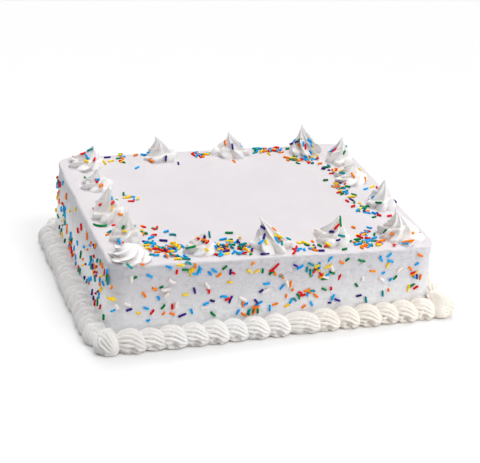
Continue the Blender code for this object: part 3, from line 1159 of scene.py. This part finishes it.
CLUSTERS = {
    Face.TOP: (
        (-104, -100, 22, 16, 46, 1.0), (-118, -88, 10, 14, 12, 0.5), (-60, -108, 14, 10, 12, 0.3),
        (-34, -104, 14, 14, 34, 1.0), (-50, -92, 14, 10, 10), (28, -110, 16, 9, 14, 0.3),
        (92, -108, 12, 10, 12), (106, -112, 18, 9, 24, 0.8), (100, -92, 12, 10, 10),
        (116, 6, 8, 22, 26, 0.8), (122, -38, 12, 14, 12), (124, 52, 8, 12, 8), (70, 112, 24, 6, 30, 0.8),
        (104, 84, 16, 6, 30, 1.0), (-8, 112, 16, 7, 16, 0.4), (-98, 110, 14, 8, 8), (-110, 18, 8, 8, 6),
        (-112, -46, 8, 12, 6), (-150, -40, 6, 40, 6), (152, 30, 6, 60, 14), (60, 117, 60, 3, 12)),
    Face.FRONT: (
        (36, 62, 16, 6, 8), (-30, 24, 12, 6, 7, 0.5), (-88, 74, 20, 4, 6), (143, 42, 6, 6, 4)),
    Face.LEFT: (
        (104, 56, 6, 14, 7), (70, 48, 5, 10, 8), (76, 20, 6, 5, 6), (34, 28, 6, 8, 10, 0.5),
        (2, 18, 8, 4, 8, 0.4), (-70, 56, 14, 10, 6)),
    Face.RIGHT: (
        (0, 44, 100, 22, 50), (-40, 30, 14, 10, 12), (60, 60, 20, 8, 12)),
    Face.BACK: (
        (0, 46, 140, 24, 60), (-60, 34, 18, 10, 14), (70, 66, 26, 8, 14)),
}
ICED_COUNT = {Face.FRONT: 8, Face.LEFT: 3, Face.RIGHT: 6, Face.BACK: 8}
DOLLOP_SPRINKLES = {
    "dollop_corner_front_left": 3, "dollop_front_1": 5, "dollop_front_2": 4, "dollop_front_3": 3,
    "dollop_corner_front_right": 6, "dollop_right_1": 4, "dollop_right_2": 5, "dollop_right_3": 5,
    "dollop_corner_back_right": 22, "dollop_back_2": 4, "dollop_back_1": 4, "dollop_corner_back_left": 4,
    "dollop_left_3": 3, "dollop_left_2": 2, "dollop_left_1": 3,
}

# Sprinkles that can be told apart in the photo: across, up and length in millimetres, slope in degrees.
# Each is (across, up, slope, length): x and z on the front, y and z on the left side, x and y on the top.
PLACED = {
    Face.FRONT: {
        ORANGE: (
            (-133, 51, -60, 7), (-86, 76, -80, 6), (-62, 64, 40, 6), (-29, 72, 30, 4), (-6, 60, -60, 5),
            (1, 56, -50, 6), (7, 35, 85, 4), (13, 41, 60, 3), (28, 39, 20, 7), (31, 37, -40, 6),
            (38, 32, -40, 7), (116, 30, -70, 4), (150, 40, 85, 6), (141, 44, -15, 6), (-114, 30, 40, 4),
            (-25, 22, 70, 6), (26, 22, 30, 5), (-164, 62, 80, 4)),
        BLUE: (
            (-120, 46, -65, 5), (-131, 37, -25, 6), (-162, 38, 15, 5), (-81, 69, 60, 8), (-67, 69, -40, 7),
            (19, 64, 30, 8), (39, 63, -88, 9), (50, 69, 50, 6), (47, 53, 10, 7), (2, 45, 50, 7),
            (30, 34, 80, 4), (34, 24, -60, 6), (-20, 30, 30, 8), (-56, 40, -10, 8), (104, 65, -65, 7),
            (112, 68, 40, 6), (114, 61, -20, 7), (144, 55, 30, 5), (108, 49, 20, 4), (117, 41, 60, 4),
            (-129, 25, 10, 4), (-34, 31, 20, 6), (-9, 24, -88, 7), (-111, 77, -30, 7)),
        NAVY: (
            (-85, 50, -75, 7), (-67, 38, -20, 5), (-51, 66, 88, 6), (-19, 43, 35, 5), (-49, 37, 70, 8),
            (61, 25, -25, 7), (53, 23, -10, 4), (84, 27, 10, 6), (-96, 26, 20, 8), (146, 41, -80, 6)),
        RED: (
            (-72, 48, -65, 6), (-106, 36, -88, 6), (-103, 71, 88, 5), (-48, 64, -30, 4), (-6, 67, 45, 9),
            (-10, 63, 0, 5), (24, 34, 10, 6), (21, 36, -35, 6), (53, 38, 88, 4), (41, 55, -40, 5),
            (141, 46, 15, 5), (146, 29, 30, 6)),
        GREEN: (
            (-142, 69, 25, 4), (-117, 57, 20, 4), (-115, 37, 50, 6), (-57, 71, 40, 6), (-19, 64, 88, 5),
            (-10, 60, 30, 5), (30, 57, -80, 9), (53, 55, -25, 7), (19, 33, -60, 7), (46, 38, -30, 6),
            (68, 67, 35, 5), (83, 65, -20, 8), (-66, 24, -45, 7), (-30, 21, -80, 6), (-21, 22, 88, 5),
            (141, 31, 35, 9)),
        TEAL: (
            (30, 66, -30, 7), (26, 61, 85, 6), (-93, 79, -25, 7), (92, 22, -75, 7), (16, 30, -50, 5),
            (0, 57, 10, 4)),
        YELLOW: (
            (-166, 51, -30, 5), (-162, 49, -10, 6), (-163, 50, 30, 5), (-25, 64, 30, 5), (48, 62, 20, 8),
            (9, 25, 25, 7), (-138, 33, -10, 4), (144, 46, 30, 6), (-100, 78, -10, 7)),
        ICED: (
            (-146, 68, 88, 7), (-149, 43, -25, 7), (-159, 42, -60, 6), (-75, 32, 5, 8), (-102, 37, 80, 7),
            (-37, 36, -30, 9), (7, 48, -70, 8), (125, 51, 50, 7), (86, 45, 85, 5)),
    },
    Face.LEFT: {
        ORANGE: (
            (102, 59, 80, 3), (64, 69, 85, 5), (97, 50, 88, 6), (56, 38, -85, 9), (-35, 57, 40, 4),
            (-48, 70, 80, 4), (-68, 77, 80, 6), (18, 26, 60, 4), (-21, 40, 50, 4), (-49, 29, -60, 5),
            (-90, 48, -50, 4)),
        YELLOW: (
            (107, 50, 85, 5), (111, 34, 88, 5), (-64, 47, -85, 6), (-93, 58, 30, 6), (-93, 44, 60, 8),
            (-95, 45, 20, 7)),
        BLUE: (
            (86, 46, -70, 6), (70, 49, -80, 9), (65, 48, 85, 8), (37, 39, -85, 7), (18, 33, 85, 6),
            (35, 33, 80, 5), (-21, 53, 10, 5), (10, 27, -75, 6), (-47, 48, 60, 6), (-55, 36, 85, 5),
            (-75, 50, 50, 7), (-88, 49, -75, 7), (-112, 72, 85, 6), (-89, 36, -75, 7)),
        GREEN: (
            (73, 53, 85, 6), (74, 36, -85, 6), (59, 22, 85, 5), (-11, 40, 82, 9), (-52, 56, 85, 6),
            (-54, 48, 75, 6), (-85, 68, -85, 6), (-112, 66, 88, 9), (-87, 28, -80, 9), (-110, 24, -75, 6)),
        TEAL: (
            (68, 49, -85, 10), (78, 24, 85, 8), (-14, 23, 85, 7), (-41, 26, 80, 5), (-114, 63, 85, 8)),
        NAVY: (
            (89, 24, 85, 5), (32, 32, 80, 5), (-32, 40, 20, 4), (-30, 24, -50, 4), (-64, 26, 84, 7),
            (-70, 23, 80, 5)),
        RED: (
            (110, 72, 60, 4), (37, 30, 88, 7), (29, 26, -80, 8), (24, 24, -75, 7), (-74, 59, 85, 5),
            (7, 22, 80, 5), (-6, 22, -85, 7), (-86, 52, 70, 6), (-102, 66, 80, 8), (-78, 32, 20, 5),
            (-78, 22, 82, 7)),
    },
    Face.TOP: {
        RED: (
            (-110, -69, 20, 7), (-99, 104, -20, 4), (-66, -92, 10, 9), (92, -96, -60, 8), (127, 19, 30, 6),
            (113, -32, 20, 6), (132, -55, -40, 5), (143, -57, 10, 6), (14, -118, 50, 9), (50, -110, 30, 6),
            (99, -100, -30, 7), (84, 117, 0, 7)),
        BLUE: (
            (-114, -73, 30, 8), (-96, -62, 20, 6), (-60, -92, 15, 9), (-46, -84, 10, 8), (96, -104, 5, 11),
            (84, -110, 10, 9), (-70, 117, -30, 7), (129, -49, -60, 6), (134, 24, -30, 8), (73, 112, 0, 9),
            (63, 116, 0, 8), (106, -100, 20, 7)),
        YELLOW: (
            (-112, 18, 10, 6), (-104, 12, 60, 5), (-96, 119, 10, 5), (31, -100, -60, 6),
            (-101, -118, -10, 7), (120, -12, 0, 9)),
        ORANGE: (
            (-79, 117, 30, 6), (-120, -66, 60, 8), (112, -106, 20, 7), (118, 70, 20, 6), (94, -76, -50, 5)),
        GREEN: (
            (-118, -62, -40, 8), (-36, -72, -10, 8), (-95, 121, 0, 5), (-50, -100, 20, 9), (121, 61, 0, 8),
            (108, 30, 0, 6), (126, 12, -40, 6), (128, -35, 10, 6), (66, -118, 10, 6), (44, -108, -70, 6),
            (97, 113, 0, 7)),
        NAVY: (
            (-104, -80, -20, 8), (-84, -98, 10, 7), (117, 58, -20, 5), (119, 22, -20, 8), (115, 15, 0, 4),
            (121, -44, 80, 5), (42, -118, -10, 6), (-16, -118, -5, 9)),
        TEAL: (
            (-150, -56, 40, 7), (-92, -70, -20, 7), (-30, -96, 10, 8), (110, 73, 0, 4),
            (-93, -118, -20, 8), (60, 118, 0, 9)),
    },
}
# The same on the dollops: colour, share of the height, angle round it and slope in degrees, length in mm.
PRESSED_IN = {
    "dollop_corner_back_left": (
        (BLUE, 0.50, 198, -40, 9), (YELLOW, 0.34, 222, 0, 7), (TEAL, 0.76, 150, 45, 7),
        (RED, 0.60, 120, 60, 6)),
    "dollop_left_3": (
        (BLUE, 0.48, 228, 35, 5), (ORANGE, 0.30, 250, 10, 6)),
    "dollop_left_2": (
        (RED, 0.52, 246, -8, 10), (RED, 0.40, 150, 40, 6), (BLUE, 0.62, 250, 20, 4),
        (YELLOW, 0.44, 236, 70, 5)),
    "dollop_left_1": (
        (GREEN, 0.48, 196, 70, 4), (YELLOW, 0.38, 228, 20, 5)),
    "dollop_front_1": (
        (NAVY, 0.60, 200, -65, 8), (TEAL, 0.70, 294, 85, 7), (GREEN, 0.30, 180, 48, 10),
        (RED, 0.46, 270, 30, 5), (ORANGE, 0.52, 230, 15, 8)),
    "dollop_front_2": (
        (NAVY, 0.66, 250, -35, 6), (NAVY, 0.42, 246, 70, 7), (ORANGE, 0.30, 330, 55, 9),
        (BLUE, 0.34, 306, 60, 8), (BLUE, 0.30, 236, 35, 7), (YELLOW, 0.44, 350, -25, 9)),
    "dollop_front_3": (
        (GREEN, 0.76, 240, 50, 12), (RED, 0.60, 230, 60, 7), (NAVY, 0.42, 200, 0, 5),
        (NAVY, 0.24, 250, -5, 6)),
    "dollop_corner_front_right": (
        (GREEN, 0.20, 160, -50, 8), (ORANGE, 0.14, 262, 25, 12), (BLUE, 0.06, 258, 5, 7),
        (YELLOW, 0.30, 330, -50, 6)),
}


@dataclass(frozen=True)
class Lie:
    """How a sprinkle lies: slope in radians, length, lift of its axis off the icing, bow and colour."""
    slope: float
    length: float
    lift: float
    bend: float
    colour: SprinkleColour


@dataclass
class SprinkleScatter:
    """All the sprinkles: those that the solids carry, and the many more that the solids leave out."""
    shape: CakeShape
    thickness: float = 0.00112
    iced_thicker: float = 1.4
    shortest: float = 0.0052
    longest: float = 0.0078
    bends: tuple[float, ...] = (0, 0, 0, 0, 0.0004, -0.0005, 0.0012)
    round_end: tuple = ((0.0, 0.40), (0.0002, 0.74), (0.0006, 0.96))
    straight: tuple[float, ...] = (-0.55, -0.2, 0.2, 0.55)
    sides_round: int = 8
    long_one: Point = (-0.155, -0.040, math.radians(-22))
    long_length: float = 0.0138
    long_bend: float = -0.0028
    proud: float = 0.0006
    spacing: float = 0.0045
    choices: int = 12
    top_margin: float = 0.040
    top_edge_keep: float = 0.009
    border_clear: float = 0.024
    patch_spread: float = 0.55
    patch_top_keep: float = 0.006
    patch_side_keep: float = 0.008
    patch_low: float = 0.021
    patch_high_keep: float = 0.007
    pile_height: float = 0.0016
    pile_tilt: float = 0.3
    iced_reach: float = 0.92
    iced_heights: tuple[float, float] = (0.026, 0.070)
    iced_lengths: tuple[float, float] = (0.005, 0.0085)
    iced_lift: float = 0.0008
    drawn_step: tuple[float, float] = (0.05, 0.04)
    placed_step: tuple[float, float] = (0.12, 0.08)
    seed: int = 11
    top_count: int = 32
    rods: list[Rod] = field(default_factory=list)

    def spread(self, count: int, draw: Callable[[], Vector],
               free: Callable[[Vector], bool]) -> list[Vector]:
        """Draws places one by one, each the best spaced of several that are free.

        Args:
            count: how many to draw.
            draw: gives a random place.
            free: tests it.

        Returns:
            The places.
        """
        found: list[Vector] = []

        def room(place: Vector) -> float:
            """The distance to the nearest one found so far."""
            return min(((place - other).length for other in found), default=self.shape.length)

        for _ in range(count):
            options = [place for place in (draw() for _ in range(self.choices)) if free(place)]
            best = max(options, key=room, default=None)
            if best and room(best) > self.spacing:
                found.append(best)
        return found

    def colour(self, rng: random.Random) -> SprinkleColour:
        """Draws a colour by its share."""
        return rng.choices(list(COLOUR_SHARES), weights=COLOUR_SHARES.values())[0]

    def length(self, rng: random.Random) -> float:
        """Draws a length."""
        return rng.uniform(self.shortest, self.longest)

    def bend(self, rng: random.Random) -> float:
        """Draws how far a sprinkle's middle bows: most are straight, and a few curl."""
        return rng.choice(self.bends)

    def side_rod(self, side: Side, s: float, z: float, lie: Lie) -> None:
        """Lays a sprinkle on an upright side.

        Args:
            side: the side.
            s: its place along the side.
            z: its height on an unsagged cake.
            lie: how it lies.
        """
        shape = self.shape
        slope = (shape.flare(z - MM) - shape.flare(z + MM)) / (2 * MM)
        axes = side.frame()
        turned = axes.to_3x3()
        here = axes @ Vector((s, -shape.flare(z), z))
        here.z *= shape.top_height(here.x, here.y) / shape.height
        out = turned @ Vector((0, -1, slope)).normalized()
        flat = axes @ Vector((s, 0, 0))
        here += out * (shape.side_relief(Vector((flat.x, flat.y, z))) + lie.lift)
        along = turned @ Vector((math.cos(lie.slope), slope * math.sin(lie.slope), math.sin(lie.slope)))
        self.rods.append(Rod(here, along, out, lie.length, lie.bend, lie.colour))

    def top_rod(self, x: float, y: float, lie: Lie, tilt: float = 0.0) -> None:
        """Lays a sprinkle on the top, or on others that lie there.

        Args:
            x, y: its place.
            lie: how it lies.
            tilt: how far one end is raised, as a slope.
        """
        z = self.shape.top_height(x, y) + self.shape.top_relief(x, y) + lie.lift
        along = Vector((math.cos(lie.slope), math.sin(lie.slope), tilt)).normalized()
        self.rods.append(Rod(Vector((x, y, z)), along, UP, lie.length, lie.bend, lie.colour))

    def dollop_rod(self, d: Dollop, t: float, angle: float, step: tuple[float, float], lie: Lie) -> None:
        """Presses a sprinkle into a dollop.

        Args:
            d: the dollop.
            t: the share of its height.
            angle: the angle round it.
            step: how far off the surface's slope is read, in angle and in share of the height.
            lie: how it lies.
        """
        here = d.point(t, angle)[0]
        beside = d.point(t, angle + step[0])[0] - here
        above = d.point(t + step[1], angle)[0] - here
        normal = beside.cross(above).normalized()
        along = beside.normalized() * math.cos(lie.slope) + above.normalized() * math.sin(lie.slope)
        along = (along - normal * along.dot(normal)).normalized()
        spot = d.settle(here, d.foot(self.shape), self.shape) + normal * lie.lift
        self.rods.append(Rod(spot, along, normal, lie.length, lie.bend, lie.colour))

    def off_dollops(self, x: float, y: float, reach: float = 0.0) -> bool:
        """Whether a place on the top is more than a reach away from every dollop's foot."""
        return all(math.hypot((x - d.x * MM) / (d.wide * MM + reach),
                              (y - d.y * MM) / (d.deep * MM + reach)) >= 1 for d in DOLLOPS)

    def lay_solid_ones(self) -> None:
        """Lays the sprinkles that the cake's solid carries by the same draws, with their own colours."""
        shape = self.shape
        rng = random.Random(self.seed)
        paint = random.Random(self.seed + 100)
        for side in SIDES:
            reach = side.half_length - shape.corner_radius
            low = self.border_clear + self.longest / 2
            high = shape.height - shape.edge_radius - self.longest / 2

            def draw() -> Vector:
                """A place on the side."""
                return Vector((rng.uniform(-reach, reach), 0, rng.uniform(low, high)))

            for place in self.spread(side.sprinkles, draw, lambda place: True):
                lie = Lie(rng.uniform(0, math.pi), self.length(rng), self.proud, 0.0, self.colour(paint))
                self.side_rod(side, place.x, place.z, lie)
        reach_x = shape.length / 2 - self.top_edge_keep
        reach_y = shape.width / 2 - self.top_edge_keep
        inner_x, inner_y = shape.length / 2 - self.top_margin, shape.width / 2 - self.top_margin
        clear = self.longest / 2 + 0.0003

        def draw_top() -> Vector:
            """A place on the top."""
            return Vector((rng.uniform(-reach_x, reach_x), rng.uniform(-reach_y, reach_y), 0))

        def in_margin(place: Vector) -> bool:
            """Whether it lies between the top's edge and its bare middle, clear of the dollops."""
            inner = abs(place.x) < inner_x and abs(place.y) < inner_y
            return not inner and self.off_dollops(place.x, place.y, clear)

        for place in self.spread(self.top_count, draw_top, in_margin):
            lie = Lie(rng.uniform(0, math.pi), self.length(rng), self.proud, 0.0, self.colour(paint))
            self.top_rod(place.x, place.y, lie)

    def lay_clusters(self) -> None:
        """Lays the denser patches on the top and the sides."""
        shape = self.shape
        rng = random.Random(self.seed + 1)
        for face, clusters in CLUSTERS.items():
            for cluster in (Cluster(*sizes) for sizes in clusters):
                for _ in range(cluster.count):
                    x = (cluster.x + rng.gauss(0, self.patch_spread) * cluster.half_x) * MM
                    y = (cluster.y + rng.gauss(0, self.patch_spread) * cluster.half_y) * MM
                    lie = Lie(rng.uniform(0, math.pi), self.length(rng) * rng.choice((0.6, 0.85, 1, 1)),
                              self.proud + rng.random() ** 2 * cluster.pile * self.pile_height,
                              self.bend(rng), self.colour(rng))
                    if face is Face.TOP:
                        reach_x = shape.length / 2 - self.patch_top_keep
                        reach_y = shape.width / 2 - self.patch_top_keep
                        if abs(x) <= reach_x and abs(y) <= reach_y and self.off_dollops(x, y):
                            tilt = rng.uniform(-self.pile_tilt, self.pile_tilt) * cluster.pile
                            self.top_rod(x, y, lie, tilt)
                        continue
                    side = SIDE_BY_NAME[face.value]
                    s = -x if face is Face.LEFT else x
                    on_height = self.patch_low < y < shape.height - self.patch_high_keep
                    if abs(s) <= side.half_length - self.patch_side_keep and on_height:
                        self.side_rod(side, s, y, lie)

    def lay_placed(self) -> None:
        """Lays the sprinkles that can be told apart in the photo."""
        rng = random.Random(self.seed + 3)
        shape = self.shape
        for face, colours in PLACED.items():
            for colour, rods in colours.items():
                for across, up, slope, length in rods:
                    x, y = across * MM, up * MM
                    lift = self.proud * (2 if face is Face.TOP else 1)
                    lie = Lie(math.radians(slope), length * MM, lift, self.bend(rng), colour)
                    if face is Face.TOP:
                        self.top_rod(x, y, lie)
                        continue
                    left = face is Face.LEFT
                    spot = (-shape.length / 2, x) if left else (x, -shape.width / 2)
                    level = shape.top_height(*spot) / shape.height
                    self.side_rod(SIDE_BY_NAME[face.value], -x if left else x, y / level, lie)

    def lay_long_one(self) -> None:
        """Lays the long bent green sprinkle in front of a dollop on the left."""
        x, y, slope = self.long_one
        self.top_rod(x, y, Lie(slope, self.long_length, self.proud * 2, self.long_bend, GREEN))

    def lay_iced(self) -> None:
        """Lays the sprinkles that the icing has coated."""
        rng = random.Random(self.seed + 2)
        for face, count in ICED_COUNT.items():
            side = SIDE_BY_NAME[face.value]
            for _ in range(count):
                s = rng.uniform(-self.iced_reach, self.iced_reach) * side.half_length
                z = rng.uniform(*self.iced_heights)
                self.side_rod(side, s, z, Lie(rng.uniform(0, math.pi), rng.uniform(*self.iced_lengths),
                                              self.iced_lift, self.bend(rng), ICED))

    def lay_on_dollops(self) -> None:
        """Presses sprinkles into the dollops: some drawn, and those that can be told apart in the photo."""
        for d in DOLLOPS:
            rng = random.Random(self.seed + 40 + d.seed)
            count = DOLLOP_SPRINKLES[d.node]
            for k in range(count):
                t = 0.08 + 0.55 * rng.random() ** 1.3
                angle = math.tau * (k + rng.random()) / count
                lie = Lie(rng.uniform(0, math.pi), self.length(rng) * rng.choice((0.7, 1, 1)),
                          self.proud * 1.5, self.bend(rng), self.colour(rng))
                self.dollop_rod(d, t, angle, self.drawn_step, lie)
            for colour, t, turn, slope, size in PRESSED_IN.get(d.node, ()):
                lie = Lie(math.radians(slope), size * MM, self.proud * 2, self.bend(rng), colour)
                self.dollop_rod(d, t, math.radians(turn), self.placed_step, lie)

    def add_rod(self, maker: MeshMaker, rod: Rod) -> None:
        """Adds a rod with rounded ends.

        Args:
            maker: what it is added to.
            rod: the sprinkle.
        """
        along = rod.along.normalized()
        across = rod.normal.cross(along).normalized()
        up = along.cross(across)
        thick = self.thickness * (self.iced_thicker if rod.colour is ICED else 1.0)
        half = rod.length / 2
        stations = [(back - half, girth) for back, girth in self.round_end]
        stations += [(half * share, 1.0) for share in self.straight]
        stations += [(half - back, girth) for back, girth in reversed(self.round_end)]
        rings = []
        for s, girth in stations:
            bow = rod.bend * (1 - (s / half) ** 2)
            centre = rod.place + along * s + across * bow
            ring = []
            for i in range(self.sides_round):
                angle = math.tau * i / self.sides_round
                spoke = across * math.cos(angle) + up * math.sin(angle)
                ring.append(maker.add_point(centre + spoke * thick * girth))
            rings.append(ring)
        maker.join_rings(rings)
        maker.close_ring(rings[0], maker.add_point(rod.place - along * half * 1.01), False)
        maker.close_ring(rings[-1], maker.add_point(rod.place + along * half * 1.01), True)

    def build(self) -> list[bpy.types.Object]:
        """Makes one piece a colour.

        Returns:
            The pieces.
        """
        self.lay_solid_ones()
        self.lay_clusters()
        self.lay_placed()
        self.lay_long_one()
        self.lay_iced()
        self.lay_on_dollops()
        pieces = []
        for colour in SprinkleColour:
            maker = MeshMaker()
            for rod in self.rods:
                if rod.colour is colour:
                    self.add_rod(maker, rod)
            piece = maker.piece(colour.slot + "s", colour.finish().material())
            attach(piece, BODY)
            pieces.append(piece)
        return pieces


@dataclass
class Studio:
    """The floor, the light and the camera."""
    camera_place: Point = (-0.406237, -1.057733, 0.571858)
    camera_forward: Point = (0.3272989, 0.8459163, -0.4210714)
    camera_right: Point = (0.9416691, -0.3289350, 0.0711417)
    focal_pixels: float = 1208.368
    image_width: float = 480
    sensor: float = 36.0
    view_depth: float = 20.0
    horizon: float = 0.03
    zenith: float = 1.90
    sky_start: float = 0.46
    suns: tuple = (("back light", 0.70, (0.20, 0.40, 0.88)), ("front light", 0.48, (0.36, -0.46, 0.81)))
    sun_angle: float = math.radians(18)
    panels: tuple = (("right panel", 1.4, (0.55, -0.45, 0.12), (0.10, -0.12, 0.03)),
                     ("left panel", 0.20, (-0.78, 0.10, 0.22), (-0.17, 0.0, 0.04)))
    panel_size: float = 0.35
    floor_size: float = 60.0

    def lay_floor(self) -> None:
        """Lays the floor."""
        bpy.ops.mesh.primitive_plane_add(size=self.floor_size)
        floor = bpy.context.object
        floor.name = "floor"
        floor.data.materials.append(FLOOR.material())

    def set_sky(self) -> None:
        """Sets a sky that is brightest overhead."""
        world = bpy.data.worlds.new("studio")
        world.use_nodes = True
        nodes, links = world.node_tree.nodes, world.node_tree.links
        background = nodes["Background"]
        background.inputs["Color"].default_value = (1.0, 1.0, 1.0, 1.0)
        direction = nodes.new("ShaderNodeTexCoord")
        parts = nodes.new("ShaderNodeSeparateXYZ")
        ramp = nodes.new("ShaderNodeMapRange")
        ramp.interpolation_type = 'SMOOTHSTEP'
        ramp.inputs["From Min"].default_value = self.sky_start
        ramp.inputs["To Min"].default_value = self.horizon
        ramp.inputs["To Max"].default_value = self.zenith
        links.new(direction.outputs["Generated"], parts.inputs["Vector"])
        links.new(parts.outputs["Z"], ramp.inputs["Value"])
        links.new(ramp.outputs["Result"], background.inputs["Strength"])
        bpy.context.scene.world = world
        bpy.context.scene.view_settings.view_transform = 'Standard'

    def add_light(self, light: bpy.types.Light, energy: float, place: Point, source: Vector) -> None:
        """Stands a light in the studio.

        Args:
            light: the light.
            energy: its power.
            place: where it stands.
            source: the way its light comes from.
        """
        light.energy = energy
        stand = bpy.data.objects.new(light.name, light)
        stand.location = place
        stand.rotation_euler = source.to_track_quat('Z', 'Y').to_euler()
        bpy.context.scene.collection.objects.link(stand)

    def light(self) -> None:
        """Sets the sky, two broad lights and two low panels."""
        self.set_sky()
        for name, energy, source in self.suns:
            sun = bpy.data.lights.new(name, 'SUN')
            sun.angle = self.sun_angle
            self.add_light(sun, energy, (0, 0, 0), Vector(source))
        for name, energy, place, aim in self.panels:
            panel = bpy.data.lights.new(name, 'AREA')
            panel.size = self.panel_size
            self.add_light(panel, energy, place, Vector(place) - Vector(aim))

    def set_camera(self) -> None:
        """Puts the camera where the photograph was taken from."""
        data = bpy.data.cameras.new("camera")
        data.sensor_width = self.sensor
        data.sensor_fit = 'HORIZONTAL'
        data.lens = self.focal_pixels / self.image_width * self.sensor
        data.clip_end = self.view_depth
        camera = bpy.data.objects.new("camera", data)
        forward = Vector(self.camera_forward).normalized()
        right = Vector(self.camera_right).normalized()
        up = right.cross(forward)
        turned = Matrix((right, up, -forward)).transposed().to_4x4()
        camera.matrix_world = Matrix.Translation(self.camera_place) @ turned
        bpy.context.scene.collection.objects.link(camera)
        bpy.context.scene.camera = camera


def main() -> None:
    """Builds the pieces in order."""
    logging.basicConfig(level=logging.INFO, format="%(name)s: %(message)s")
    noise.seed_set(WARP_SEED)
    studio = Studio()
    studio.set_camera()
    studio.light()
    studio.lay_floor()
    shape = CakeShape()
    pieces = [CakeBody(shape).build()]
    piped = PIPED_ICING.material()
    pieces += [dollop.build(shape, piped) for dollop in DOLLOPS]
    border, shaded = BORDER_ICING.material(), SHADED_BORDER_ICING.material()
    # The side with a shade takes the darker copy of the icing: painted shade.
    pieces += [ShellBorder(side).build(shaded if side.shade else border) for side in SIDES]
    scatter = SprinkleScatter(shape)
    pieces += scatter.build()
    for piece in pieces:
        log.info("%s: %d faces", piece.name, len(piece.data.polygons))
    log.info("%d sprinkles", len(scatter.rods))
    triangles = sum(len(face.vertices) - 2 for piece in pieces for face in piece.data.polygons)
    log.info("%d triangles in all", triangles)


if __name__ == "__main__":
    main()
